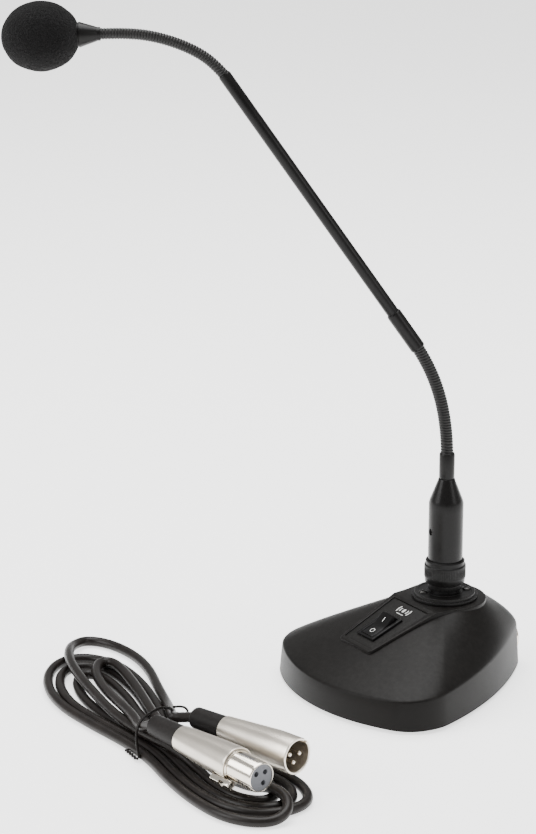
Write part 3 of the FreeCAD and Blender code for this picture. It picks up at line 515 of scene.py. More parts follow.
def copied_into(mesh, other):
    """Add another bmesh to this one."""
    data = bpy.data.meshes.new("part")
    other.to_mesh(data)
    other.free()
    mesh.from_mesh(data)
    bpy.data.meshes.remove(data)
    return mesh


def contacts(turn, low, high):
    """Three round contacts on their circle, in millimetres, turned by an angle in degrees."""
    pins = bmesh.new()
    for angle in CONTACT_ANGLES:
        spot = math.radians(angle + turn)
        x, y = CONTACT_CIRCLE * math.cos(spot), CONTACT_CIRCLE * math.sin(spot)
        copied_into(pins, rod_mesh(CONTACT_RADIUS, (x, y, low), (x, y, high), 24, 0.9))
    return pins


def placed_mesh(mesh, place):
    bmesh.ops.transform(mesh, matrix=place, verts=mesh.verts)
    return mesh


class MicOperator(Operator):
    """Shared options of the pieces' operators."""
    bl_options = {"REGISTER", "UNDO"}

    @property
    def sizes(self):
        return bpy.context.scene.mic_sizes

    @property
    def colours(self):
        return bpy.context.scene.mic_colours

    def execute(self, context):
        self.build()
        return {"FINISHED"}



# ---------------------------------------------------------------- stage


class MIC_OT_stage(MicOperator):
    """Camera, soft studio lights and a pale floor"""
    bl_idname = "mic.stage"
    bl_label = "Stage"

    def build(self):
        scene = bpy.context.scene
        eye = Vector((1.15355, -0.87988, 0.58022))
        lens = bpy.data.cameras.new("camera")
        lens.lens, lens.sensor_width, lens.clip_end = 120.86, 36, 20
        camera = bpy.data.objects.new("camera", lens)
        camera.location = eye
        camera.rotation_euler = Vector((-0.7991, 0.5289, -0.2857)).to_track_quat("-Z", "Y").to_euler()
        scene.collection.objects.link(camera)
        scene.camera = camera
        self.lights(scene)
        self.floor()

    def lights(self, scene):
        world = bpy.data.worlds.new("soft_room")
        world.use_nodes = True
        world.node_tree.nodes["Background"].inputs["Color"].default_value = (1, 1, 1, 1)
        world.node_tree.nodes["Background"].inputs["Strength"].default_value = 0.5
        scene.world = world
        for name, spot, aim, side, power in (
                ("overhead_softbox", (-0.25, 0.10, 1.70), (0, -0.06, 0.05), 1.5, 52),
                ("left_softbox", (-0.45, -1.55, 0.95), (-0.02, -0.10, 0.12), 1.0, 24),
                ("right_softbox", (1.50, 0.75, 0.85), (0, -0.02, 0.12), 0.8, 8)):
            light = bpy.data.lights.new(name, "AREA")
            light.shape, light.size, light.energy = "SQUARE", side, power
            lamp = bpy.data.objects.new(name, light)
            lamp.location = spot
            lamp.rotation_euler = (Vector(aim) - Vector(spot)).to_track_quat("-Z", "Y").to_euler()
            scene.collection.objects.link(lamp)

    def floor(self):
        finish = Finish("pale_paper", roughness=0.85, emission_color=(1, 1, 0.995, 1), emission_strength=1.5)
        grain = finish.clouds(900, 3.0)
        finish.set(base_color=finish.mix(grain, self.colours.floor, shade(self.colours.floor, 0.99)))
        finish.relief(grain, 0.00002)
        mesh = bmesh.new()
        bmesh.ops.create_grid(mesh, x_segments=2, y_segments=2, size=6)
        data = bpy.data.meshes.new("floor")
        mesh.to_mesh(data)
        mesh.free()
        data.materials.append(finish.material)
        floor = bpy.data.objects.new("floor", data)
        bpy.context.scene.collection.objects.link(floor)


# ---------------------------------------------------------------- cable

class MIC_OT_cable(MicOperator):
    """The cable, wound as a hank from one connector to the other"""
    bl_idname = "mic.cable"
    bl_label = "Cable"

    # Each loop to the left leaves the tie on the near side and comes back on the far side.
    TOP_LOOP = ((14, -195.4, 20), (7, -195.2, 17), (-1, -194.8, 12.6), (-20, -188.5, 12.4), (-42, -184.5,
                                                                                             11.2),
                (-65, -179.5, 9.8), (-88, -171.5, 8.9), (-101, -162, 8.6), (-99, -154.5, 8.6),
                (-84, -156, 8.6), (-62, -161.5, 8.6), (-40, -168.5, 8.6), (-18, -175.5, 8.5),
                (2, -179.4, 7.9))
    OUTER_RIGHT = ((20, -180, 7.6), (40, -180, 4.6), (58, -179, 2.9), (76, -177, 4), (89, -174.5, 8.4),
                   (102, -173.5, 8.6), (112, -178, 6), (115, -187, 3.1), (110, -198, 2.9),
                   (95, -206.5, 2.9), (71, -208, 2.9), (45, -205.5, 2.9), (20, -200.5, 2.9),
                   (2, -199, 2.9))
    OUTER_LEFT = ((-15, -199.5, 2.9), (-42, -202, 2.9), (-70, -202.8, 2.9), (-95, -197, 2.9), (-115, -186,
                                                                                               2.9),
                  (-127, -171, 2.9), (-125, -157.5, 2.9), (-112, -149.5, 2.9), (-98, -147.5, 2.9),
                  (-75, -150, 2.9), (-50, -157, 2.9), (-25, -166.5, 2.9), (2, -176.6, 2.9))
    SECOND_RIGHT = ((20, -172.5, 2.9), (42, -162.5, 2.9), (64, -154.5, 2.9), (86, -152.5, 2.9),
                    (104, -160, 2.9), (108.5, -174, 2.9), (104.5, -189, 2.9), (90, -199.5, 2.9),
                    (68, -202, 2.9), (44, -199.8, 2.9), (20, -194.9, 2.9), (2, -193.4, 2.9))
    SECOND_LEFT = ((-18, -194.5, 2.9), (-45, -197.5, 2.9), (-72, -197, 2.9), (-97, -189.5, 2.9),
                   (-114, -177, 2.9), (-115, -163, 2.9), (-99, -155.5, 2.9), (-72, -157.5, 2.9),
                   (-45, -164.5, 2.9), (-20, -174.5, 2.9), (2, -182.2, 2.9))
    THIRD_RIGHT = ((20, -178.6, 2.9), (42, -169, 2.9), (64, -161, 2.9), (84, -159, 2.9), (98, -166, 2.9),
                   (102, -177.5, 2.9), (96, -189.5, 2.9), (80, -195.8, 2.9), (60, -196, 2.9),
                   (38, -192.6, 2.9), (20, -189, 2.9), (2, -187.8, 2.9))
    THIRD_LEFT = ((-22, -188.5, 2.9), (-48, -190.5, 2.9), (-75, -187.5, 2.9), (-98, -178, 2.9),
                  (-104, -167.5, 2.9), (-92, -163, 2.9), (-62, -167, 2.9), (-40, -173.5, 3.2),
                  (-18, -181.5, 6.4), (2, -185, 7.8))
    INNER_RIGHT = ((20, -184.8, 6.8), (42, -175.5, 3.1), (62, -167.5, 2.9), (79, -165.5, 2.9),
                   (90.5, -171.5, 2.9), (92, -181, 2.9), (81, -189, 2.9), (62, -190, 2.9),
                   (42, -187, 3.6), (22, -188.2, 7.8), (2, -190.6, 7.8))
    HIGH_LEFT = ((-18, -191.8, 8.1), (-40, -190.4, 8.5), (-64, -186, 8.7), (-88, -181, 8.8),
                 (-110, -174.5, 8.8), (-128, -165.5, 7.4), (-142, -154.5, 4.4), (-147, -142.5, 3),
                 (-134, -134, 2.9), (-111, -132, 2.9), (-88, -136.5, 2.9), (-64, -146, 3),
                 (-42, -154, 3.6), (-21, -164, 8), (-3, -174, 13), (8, -174.6, 17.2), (17.3, -172.5, 20))

    def build(self):
        route = (self.TOP_LOOP + self.OUTER_RIGHT + self.OUTER_LEFT + self.SECOND_RIGHT + self.SECOND_LEFT
                 + self.THIRD_RIGHT + self.THIRD_LEFT + self.INNER_RIGHT + self.HIGH_LEFT)
        jacket = self.line("cable_cord", route, self.sizes.cable, 12, FINISHES["jacket"])
        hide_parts("cable_hank")
        with_pieces = self.connectors() + [self.tie()]

    def line(self, name, route, diameter, resolution, material):
        curve = bpy.data.curves.new(name, "CURVE")
        curve.dimensions, curve.bevel_depth = "3D", diameter / 2
        curve.bevel_resolution, curve.resolution_u, curve.use_fill_caps = 5, resolution, True
        spline = curve.splines.new("NURBS")
        spline.points.add(len(route) - 1)
        for point, spot in zip(spline.points, route):
            point.co = (*(Vector(spot) * MM), 1)
        spline.order_u, spline.use_endpoint_u = 3, True
        curve.materials.append(material)
        piece = bpy.data.objects.new(name, curve)
        bpy.context.scene.collection.objects.link(piece)
        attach(piece, "cable")
        return piece

    def tie(self):
        """Wire tie round the waist, its ends twisted together on the near side."""
        ring = ((11.5, -203.2, 3.2), (7.5, -202.6, 9), (2.5, -199, 15.6), (-2, -192.5, 17.6), (-5.5,
                                                                                               -184.5, 18.2),
                (-8.5, -176.5, 17.8), (-11, -168.8, 14), (-11.5, -165.8, 7.5), (-9.5, -168, 1.2),
                (-2, -179, 0.8), (5, -191, 0.8), (10.5, -201.5, 0.9), (11.6, -203.4, 3.4))
        loop_end = ((-11, -168.8, 15), (-7, -165.5, 16.4), (-2.5, -164.5, 15), (-1.5, -167, 13.4),
                    (-6, -169.5, 13.6))
        twist = [(10.5 - 0.75 * k + 0.4 * math.cos(k * 1.6), -203.9 + 0.08 * k + 0.4 * math.sin(k * 1.6),
                  1.6 + 0.4 * math.sin(k * 1.6 + 1)) for k in range(19)]
        whole = self.mesh_of(self.line("cable_tie_wire", ring, self.sizes.tie, 8, FINISHES["tie"]))
        for route in (loop_end, twist):
            part = self.mesh_of(self.line("tie_end", route, self.sizes.tie * 0.85, 6, FINISHES["tie"]))
            mesh = bmesh.new()
            mesh.from_mesh(whole.data)
            mesh.from_mesh(part.data)
            mesh.to_mesh(whole.data)
            mesh.free()
            bpy.data.objects.remove(part)
        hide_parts("cable_tie")
        return whole

    def mesh_of(self, line):
        """A curve's tube as a mesh piece of the same name."""
        bpy.context.view_layer.update()
        data = bpy.data.meshes.new_from_object(line.evaluated_get(bpy.context.evaluated_depsgraph_get()))
        name, material = line.name, line.data.materials[0]
        bpy.data.objects.remove(line)
        data.materials.clear()
        data.materials.append(material)
        for face in data.polygons:
            face.use_smooth = True
        piece = bpy.data.objects.new(name, data)
        bpy.context.scene.collection.objects.link(piece)
        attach(piece, "cable")
        return piece

    def connectors(self):
        """Both connectors, each made along Z from the foot of its boot."""
        female = self.lying((14, -195.4), 6.1)
        male = self.lying((17.3, -172.5), 12.3)
        pieces = []

        def add(name, mesh, finish, slot, place, node, smooth=35):
            piece = finished(name, mesh, finish, "cable", place, smooth, node=node)
            pieces.append(piece)

        for kind, reach, place in (("female", 23.4, female), ("male", 21.8, male)):
            boot = lathe([(2.8, 0.6), (3.4, 0), (5.0, 0), (5.6, 0.8), (5.9, reach * 0.4), (6.35, reach - 0.6),
                          (6.35, reach), (2.8, reach)], 72, 0.35 * MM)
            add(f"{kind}_boot_sleeve", boot, "rubber", "pad_rubber", place, f"{kind}_boot")
        shell = lathe([(6.0, 23.5), (6.75, 23.42), (6.9, 23.7), (7.5, 32), (8.25, 42), (8.95, 53), (9.45, 63),
                       (9.6, 66.6), (9.6, 67.7), (9.2, 67.8), (8.55, 67.4), (8.5, 58)], 128, 0.18 * MM)
        wall = [edge for edge in shell.edges if edge.is_boundary]
        bmesh.ops.bridge_loops(shell, edges=wall)
        turn = math.radians(308.6)
        slot = placed_mesh(box_mesh(9, 5.4, 12.8, (10.5, 0, 64.6)), Matrix.Rotation(turn, 4, "Z"))
        add("female_sleeve", joined(shell, [("DIFFERENCE", slot)]), "nickel", "nickel", female,
            "female_shell", 28)
        self.female_front(female, turn, add)
        self.male_front(male, add)
        return pieces + [NODES["female_insert"], NODES["male_insert"]]

    def female_front(self, place, turn, add):
        nose = lathe([(7.0, 60), (8.4, 60.4), (8.4, 67.6), (7.9, 68), (7.9, 85.2), (7.5, 86.3), (7.0, 86.5),
                      (6.95, 85.4)], 128, 0.15 * MM, closed=True)
        keyway = placed_mesh(box_mesh(3, 2.1, 12, (7.9, 0, 75)), Matrix.Rotation(math.pi, 4, "Z"))
        add("female_barrel", joined(nose, [("DIFFERENCE", keyway)]), "bright", "nickel", place,
            "female_nose", 28)
        tab = box_mesh(3.3, 4.6, 14.5, (10.75, 0, 65.8))
        bevelled(tab, tab.edges[:], 0.5 * MM)
        step = box_mesh(3, 6, 3.6, (12.6, 0, 67.5))
        latch = joined(tab, [("DIFFERENCE", step)])
        finished("latch_tab", latch, "bright", "latch",
                         place @ Matrix.Rotation(turn, 4, "Z"), 30, node="female_latch")

    def male_front(self, place, add):
        shell = lathe([(6.0, 21.9), (6.75, 21.84), (6.9, 22.1), (7.5, 30), (8.25, 39.5), (8.95, 49), (9.5,
                                                                                                      57),
                       (9.6, 61), (9.6, 72.2), (9.3, 72.5), (8.5, 72.5), (8.15, 72.1), (8.1, 50.2), (6.2,
                                                                                                     50)],
                      128, 0.12 * MM, closed=True)
        notch = placed_mesh(box_mesh(2.6, 2.3, 5, (9.0, 0, 71.5)), Matrix.Rotation(math.radians(140), 4, "Z"))
        add("male_sleeve", joined(shell, [("DIFFERENCE", notch)]), "nickel", "nickel", place,
            "male_shell", 28)
        add("male_contacts", contacts(79.5, 49, 71), "bright", "nickel", place, "male_pins")

    @staticmethod
    def lying(foot, heading):
        way = Matrix.Rotation(math.radians(heading), 4, "Z") @ Matrix.Rotation(math.pi / 2, 4, "Y")
        return Matrix.Translation(Vector((*foot, 20)) * MM) @ way


# ---------------------------------------------------------------- base

class BaseOutline:
    """The base's outline of tangent arcs, with the cover's heights over it, in millimetres."""
    front, corner, side, back = 102.0, 27.0, 205.0, 20.0
    front_centre, back_centre = Vector((0, 13.5, 0)), Vector((0, 27.5, 0))
    corner_centre = Vector((37.5, 13.5 - math.sqrt(75 ** 2 - 37.5 ** 2), 0))
    crease_front, crease_back, flare = 16.7, 25.0, 1.5
    seat, seat_radius = 46.0, 21.0

    def __init__(self, crease):
        self.rounded_skirt, self.rounded_dome = crease / MM / 18, crease / MM / 50
        first, second = self.corner_centre, self.back_centre
        way = (second - first).normalized()
        gap, near, far = (second - first).length, self.side - self.corner, self.side - self.back
        reach = (near ** 2 - far ** 2 + gap ** 2) / (2 * gap)
        self.side_centre = first + way * reach + Vector((-way.y, way.x,
                                                         0)) * math.sqrt(near ** 2 - reach ** 2)

    def arcs(self):
        """Centre, end point and number of steps of each arc from the back to the front."""
        def touch(centre, other, radius):
            return centre + (other - centre).normalized() * radius
        return ((self.back_centre, touch(self.side_centre, self.back_centre, self.side), 14),
                (self.side_centre, touch(self.side_centre, self.corner_centre, self.side), 22),
                (self.corner_centre, touch(self.front_centre, self.corner_centre, self.front), 16),
                (self.front_centre, Vector((0, -88.5, 0)), 14))

    def ring(self, mesh, out):
        """Spin the arcs on one side and mirror them, keeping each point's outward direction."""
        tip = mesh.verts.new(self.back_centre + Vector((0, self.back, 0)))
        tip[out] = (0, 1, 0)
        for centre, end, steps in self.arcs():
            start = tip.co - centre
            stop = end - centre
            angle = math.atan2(start.cross(stop).z, start.dot(stop))
            known = set(mesh.verts)
            spun = bmesh.ops.spin(mesh, geom=[tip], cent=centre, axis=(0, 0, 1), angle=angle, steps=steps,
                                  use_merge=False, use_normal_flip=False, use_duplicate=False)
            for vert in mesh.verts:
                if vert not in known:
                    vert[out] = (vert.co - centre).normalized()
            tip = next(item for item in spun["geom_last"] if isinstance(item, bmesh.types.BMVert))
        bmesh.ops.mirror(mesh, geom=mesh.verts[:] + mesh.edges[:], axis="X", merge_dist=0.001)
        for vert in mesh.verts:
            if vert.co.x < 0:
                vert[out] = (-abs(vert[out][0]), vert[out][1], 0)

    def crease_height(self, y):
        return self.crease_front + (self.crease_back - self.crease_front) * (y + 88.5) / 136

    def crease(self, foot, out, inset):
        spot = foot - out * (self.flare + inset)
        return Vector((spot.x, spot.y, self.crease_height(spot.y) - inset))

    def dome(self, foot, out, inset, step):
        edge = self.crease(foot, out, inset)
        way = Vector((edge.x, edge.y, 0)).normalized()
        top = way * (self.seat_radius - inset)
        lift = step ** (0.84 - 0.11 * way.y)
        return Vector((edge.x + (top.x - edge.x) * step, edge.y + (top.y - edge.y) * step,
                       edge.z + (self.seat - inset - edge.z) * lift))

    def shell(self, inset, bottom):
        """The skirt and dome as one closed solid, moved in by an inset."""
        mesh = bmesh.new()
        out = mesh.verts.layers.float_vector.new("out")
        foot = mesh.verts.layers.float_vector.new("foot")
        level = mesh.verts.layers.int.new("level")
        self.ring(mesh, out)
        for vert in mesh.verts:
            vert[foot] = vert.co
        rim = mesh.edges[:]
        heights = [("skirt", share) for share in (0, 0.03, 0.35, 0.65, 1 - self.rounded_skirt)]
        heights += [("crease", share) for share in (0.15, 0.3, 0.45, 0.6, 0.8, 1)]
        heights += [("dome", k / 16) for k in range(1, 17)]
        count = len(heights)
        for number, (part, share) in enumerate(heights):
            if number:
                grown = bmesh.ops.extrude_edge_only(mesh, edges=rim)["geom"]
                rim = [item for item in grown if isinstance(item, bmesh.types.BMEdge)
                       and len(item.link_faces) == 1]
                verts = [item for item in grown if isinstance(item, bmesh.types.BMVert)]
            else:
                verts = mesh.verts[:]
            for vert in verts:
                vert[level] = number
                home, way = Vector(vert[foot]), Vector(vert[out])
                edge = self.crease(home, way, inset)
                low = Vector((*(home - way * inset).xy, bottom))
                if part == "skirt":
                    vert.co = low.lerp(edge, share)
                elif part == "crease":
                    before = low.lerp(edge, 1 - self.rounded_skirt).lerp(edge, share)
                    after = edge.lerp(self.dome(home, way, inset, self.rounded_dome), share)
                    vert.co = before.lerp(after, share)
                else:
                    vert.co = self.dome(home, way, inset, share)
        for number in (0, count - 1):
            bmesh.ops.contextual_create(mesh, geom=[edge for edge in mesh.edges if edge.is_boundary
                                                    and edge.verts[0][level] == number])
        bmesh.ops.scale(mesh, vec=(MM, MM, MM), verts=mesh.verts)
        return mesh


SLOPE = Matrix.Translation(Vector(SLOPE_SPOT) * MM) @ Matrix.Rotation(SLOPE_ANGLE, 4, "X")


def slope_plate(front, front_half, back, back_half, low, high, corner):
    """A plate with a narrow front in the sloping panel's frame, its upright corners rounded."""
    mesh = bmesh.new()
    ring = [mesh.verts.new(Vector(spot) * MM) for spot in (
        (-front_half, -front, low), (front_half, -front, low), (back_half, back, low), (-back_half, back,
                                                                                        low))]
    face = mesh.faces.new(ring)
    extruded(mesh, [face], (0, 0, (high - low) * MM))
    bmesh.ops.recalc_face_normals(mesh, faces=mesh.faces)
    upright = [edge for edge in mesh.edges
               if abs(edge.verts[0].co.z - edge.verts[1].co.z) > (high - low) * MM / 2]
    bevelled(mesh, upright, corner * MM, 5)
    return mesh


class MIC_OT_base(MicOperator):
    """Moulded cover: skirt, dome, sloping platform and its openings"""
    bl_idname = "mic.base"
    bl_label = "Base Cover"

    def build(self):
        outline = BaseOutline(self.sizes.crease)
        cover = joined(outline.shell(0, 2), [
            ("UNION", self.platform()),
            ("DIFFERENCE", outline.shell(self.sizes.wall / MM, 1)),
            ("DIFFERENCE", placed_mesh(slope_plate(15.8, 12.5, 22.5, 15.8, -1, 6, 1), SLOPE)),
            ("DIFFERENCE", placed_mesh(box_mesh(13.4, 19.4, 40, (0, 0, -10)), SLOPE)),
            ("DIFFERENCE", rod_mesh(10, (0, 30, OUTPUT_HEIGHT), (0, 60, OUTPUT_HEIGHT), 96)),
            ("DIFFERENCE", rod_mesh(11.1, (0, 0, 30), (0, 0, 60), 96))])
        self.soften(cover)
        finished("base_shell", cover, "cover", "base", None, 32, False, node="base_cover")

    def platform(self):
        """A prism with a narrow front that flares into a ring round the neck, cut to its two slopes."""
        ring, fillet = 22.8, 26.0
        start, way = Vector((14, -60.6, 0)), Vector((4.2, 30.6, 0)).normalized()
        side = Vector((way.y, -way.x, 0))
        origin = start + side * fillet
        half = origin.dot(way)
        reach = -half - math.sqrt(half ** 2 - origin.length_squared + (ring + fillet) ** 2)
        centre = origin + way * reach
        mesh = bmesh.new()
        front = mesh.verts.new((0, -60.6, 0))
        corner = mesh.verts.new(start)
        tip = mesh.verts.new(start + way * reach)
        mesh.edges.new((front, corner))
        mesh.edges.new((corner, tip))
        for middle, end, steps in ((centre, centre.normalized() * ring, 14), (Vector(), Vector((0, ring,
                                                                                                0)), 30)):
            first, last = tip.co - middle, end - middle
            angle = math.atan2(first.cross(last).z, first.dot(last))
            spun = bmesh.ops.spin(mesh, geom=[tip], cent=middle, axis=(0, 0, 1), angle=angle, steps=steps,
                                  use_merge=False, use_normal_flip=False, use_duplicate=False)
            tip = next(item for item in spun["geom_last"] if isinstance(item, bmesh.types.BMVert))
        bmesh.ops.mirror(mesh, geom=mesh.verts[:] + mesh.edges[:], axis="X", merge_dist=0.001)
        bmesh.ops.remove_doubles(mesh, verts=mesh.verts, dist=0.001)
        bmesh.ops.translate(mesh, vec=(0, 0, 24), verts=mesh.verts)
        face = bmesh.ops.contextual_create(mesh, geom=mesh.edges[:])["faces"]
        grown = bmesh.ops.extrude_face_region(mesh, geom=face)["geom"]
        bmesh.ops.translate(mesh, vec=(0, 0, 40), verts=[v for v in grown if isinstance(v,
                                                                                        bmesh.types.BMVert)])
        bmesh.ops.scale(mesh, vec=(MM, MM, MM), verts=mesh.verts)
        tops = ((SLOPE @ Vector((0, 0, 0.4 * MM)), SLOPE.to_3x3() @ Vector((0, 0, 1))),
                (Vector((0, 0, 46.1 * MM)), Vector((0, 0, 1))))
        for point, normal in tops:
            cut = bmesh.ops.bisect_plane(mesh, geom=mesh.verts[:] + mesh.edges[:] + mesh.faces[:], dist=1e-7,
                                         plane_co=point, plane_no=normal, clear_outer=True)
            bmesh.ops.contextual_create(mesh, geom=[e for e in cut["geom_cut"]
                                                    if isinstance(e, bmesh.types.BMEdge)])
        bmesh.ops.recalc_face_normals(mesh, faces=mesh.faces)
        upright = [edge for edge in mesh.edges if edge.verts[0].co.y < -0.06 and edge.verts[1].co.y < -0.06
                   and abs(edge.verts[0].co.z - edge.verts[1].co.z) > 2 * MM]
        bevelled(mesh, upright, 2 * MM, 4)
        bmesh.ops.recalc_face_normals(mesh, faces=mesh.faces)
        brim = [edge for edge in mesh.edges if len(edge.link_faces) == 2
                and max(face.normal.z for face in edge.link_faces) > 0.8
                and edge.calc_face_angle(0) > math.radians(50)
                and min(vert.co.z for vert in edge.verts) > 0.026]
        bevelled(mesh, brim, self.sizes.border, 3)
        return mesh

    def soften(self, mesh):
        """Round the rim of the panel's recess."""
        to_slope = SLOPE.inverted()
        mesh.normal_update()
        rim = []
        for edge in mesh.edges:
            spots = [to_slope @ vert.co / MM for vert in edge.verts]
            if len(edge.link_faces) == 2 and all(abs(spot.z - 0.4) < 0.02 and abs(spot.x) < 16.2
                                                 and -16 < spot.y < 22.8 for spot in spots) \
                    and edge.calc_face_angle(0) > 1:
                rim.append(edge)
        bevelled(mesh, rim, 0.3 * MM, 2)


class MIC_OT_panel(MicOperator):
    """Label panel with a printed pictogram"""
    bl_idname = "mic.panel"
    bl_label = "Label Panel"

    def build(self):
        plate = slope_plate(15.65, 12.35, 22.35, 15.65, -0.98, 0, 0.9)
        top = [edge for edge in plate.edges if all(vert.co.z > -1e-6 for vert in edge.verts)]
        bevelled(plate, top, 0.15 * MM, 2)
        plate = joined(plate, [("DIFFERENCE", box_mesh(13.4, 19.4, 6, (0, 0, 0)))])
        finished("label_plate", plate, "panel", "base", SLOPE, 30, False, node="label_panel")
        finished("panel_print", self.pictogram(), "print", "base",
                 SLOPE @ Matrix.Translation((0, 16.3 * MM, 0)), 30)

    def pictogram(self):
        """A plain microphone between sound waves, with a bar under it."""
        mesh = bmesh.new()
        deep = self.sizes.print_height / MM

        def stroke(radius, width, centre, start, end, steps=18):
            part = bmesh.new()
            low = part.verts.new(Vector((radius - width / 2, 0, 0)))
            high = part.verts.new(Vector((radius + width / 2, 0, 0)))
            edge = part.edges.new((low, high))
            bmesh.ops.rotate(part, cent=(0, 0, 0), matrix=Matrix.Rotation(math.radians(start), 3, "Z"),
                             verts=part.verts)
            bmesh.ops.spin(part, geom=[low, high, edge], cent=(0, 0, 0), axis=(0, 0, 1),
                           angle=math.radians(end - start), steps=steps, use_merge=False,
                           use_normal_flip=False, use_duplicate=False)
            bmesh.ops.translate(part, vec=(*centre, 0), verts=part.verts)
            self.raised(part, deep)
            copied_into(mesh, part)

        def bar(width, height, centre):
            part = bmesh.new()
            bmesh.ops.create_grid(part, x_segments=1, y_segments=1, size=0.5)
            bmesh.ops.scale(part, vec=(width, height, 1), verts=part.verts)
            bmesh.ops.translate(part, vec=(*centre, 0), verts=part.verts)
            self.raised(part, deep)
            copied_into(mesh, part)

        bar(1.6, 1.4, (0, 0.9))
        stroke(0.4, 0.8, (0, 1.6), 0, 180)
        stroke(0.4, 0.8, (0, 0.2), 180, 360)
        for side in (0, 180):
            for radius in (2.9, 4.8):
                stroke(radius, 0.7, (0, 0.9), side - 28, side + 28)
        bar(5.6, 0.45, (0, -2.3))
        bmesh.ops.scale(mesh, vec=(MM, MM, MM), verts=mesh.verts)
        return mesh

    @staticmethod
    def raised(part, deep):
        extruded(part, part.faces[:], (0, 0, deep))
        bmesh.ops.recalc_face_normals(part, faces=part.faces)


class MIC_OT_switch(MicOperator):
    """Rocker switch: bezel, rocker and its two marks"""
    bl_idname = "mic.switch"
    bl_label = "Rocker Switch"

    def build(self):
        finished("switch_frame", self.bezel(), "switch", "base", SLOPE, 30,
                 node="switch_bezel")
        rest = Matrix.Translation(pivot("switch_rock")) @ Matrix.Rotation(math.radians(32.3), 4, "X")
        finished("rocker_key", self.rocker(), "switch", "rocker", rest, 30,
                          node="switch_rocker")
        finished("rocker_marks", self.marks(), "print", "rocker", rest, 30)

    def bezel(self):
        mesh = box_mesh(15, 21, 1.48, (0, 0, 0.76))
        low = [face for face in mesh.faces if face.normal.z < -0.5]
        bmesh.ops.inset_region(mesh, faces=low, thickness=1 * MM, use_even_offset=True)
        self.pushed(mesh, low[0], -11.02)
        top = next(face for face in mesh.faces if face.normal.z > 0.5)
        bmesh.ops.inset_region(mesh, faces=[top], thickness=1.35 * MM, use_even_offset=True)
        bmesh.ops.scale(mesh, vec=(10.4 / 12.3, 1, 1), verts=top.verts)
        brim = [edge for edge in mesh.edges if all(vert.co.z > 1.4 * MM for vert in edge.verts)]
        self.pushed(mesh, top, -9.5)
        mesh.normal_update()
        brim = [edge for edge in brim if edge.is_valid and len(edge.link_faces) == 2
                and edge.calc_face_angle(0) > 1]
        outer = [edge for edge in mesh.edges if edge.calc_face_angle(0) > 1
                 and all(abs(abs(vert.co.x) - 7.5 * MM) < 1e-6 for vert in edge.verts)
                 and abs(edge.verts[0].co.z - edge.verts[1].co.z) > 1 * MM]
        bevelled(mesh, list(set(brim + outer)), 0.35 * MM, 3)
        return mesh

    @staticmethod
    def pushed(mesh, face, distance):
        grown = bmesh.ops.extrude_discrete_faces(mesh, faces=[face])["faces"]
        bmesh.ops.translate(mesh, vec=(0, 0, distance * MM), verts=grown[0].verts)

    def rocker(self):
        """A prism whose top is hollow between two high ends."""
        mesh = bmesh.new()
        ring = [(-8.4, 3.4), (-8.1, -0.5), (-2.8, -5), (2.8, -5), (8.1, -0.5), (8.4, 3.4)]
        ring += [(8.4 - 8.4 * k / 6, 1.8 + 1.6 * (1 - k / 6) ** 1.5) for k in range(1, 6)]
        ring += [(0, 1.8)] + [(-8.4 * k / 6, 1.8 + 1.6 * (k / 6) ** 1.5) for k in range(1, 6)]
        face = mesh.faces.new([mesh.verts.new((-4.9 * MM, y * MM, z * MM)) for y, z in ring])
        extruded(mesh, [face], (9.8 * MM, 0, 0))
        bmesh.ops.recalc_face_normals(mesh, faces=mesh.faces)
        edges = [edge for edge in mesh.edges if edge.calc_face_angle(0) > 1 and
                 all(vert.co.z > 1 * MM for vert in edge.verts)]
        bevelled(mesh, edges, 0.3 * MM, 3)
        return mesh

    def marks(self):
        """A line at the back and a ring at the front."""
        mesh = bmesh.new()
        deep = 0.05
        grow = MIC_OT_panel.raised
        line = bmesh.new()
        bmesh.ops.create_grid(line, x_segments=1, y_segments=1, size=0.5)
        bmesh.ops.scale(line, vec=(0.42, 2.9, 1), verts=line.verts)
        grow(line, deep)
        ring = bmesh.new()
        low, high = ring.verts.new((1.2, 0, 0)), ring.verts.new((1.55, 0, 0))
        edge = ring.edges.new((low, high))
        bmesh.ops.spin(ring, geom=[low, high, edge], cent=(0, 0, 0), axis=(0, 0, 1), angle=math.tau, steps=36,
                       use_merge=True, use_normal_flip=False, use_duplicate=False)
        grow(ring, deep)
        for part, y, z, lean in ((line, 4.4, 2.43, 10.5), (ring, -4.4, 2.43, -10.5)):
            bmesh.ops.transform(part, matrix=Matrix.Translation((0, y, z))
                                @ Matrix.Rotation(math.radians(lean), 4, "X"), verts=part.verts)
            copied_into(mesh, part)
        bmesh.ops.scale(mesh, vec=(MM, MM, MM), verts=mesh.verts)
        return mesh


# ---------------------------------------------------------------- neck socket, collar and plug

def screw_mesh(place, head=2.5, height=1.1):
    """A pan head with a cross recess, standing on the place's own plane."""
    dome = lathe([(0, height), (head * 0.55, height * 0.96), (head * 0.88, height * 0.62), (head,
                                                                                            height * 0.15),
                  (head, 0), (0, -0.2)], 40)
    for turn in (0, 90):
        dome = joined(dome, [("DIFFERENCE", placed_mesh(box_mesh(head * 1.15, 0.5, 1.2, (0, 0, height)),
                                                        Matrix.Rotation(math.radians(turn + 20), 4, "Z")))])
    return placed_mesh(dome, place)


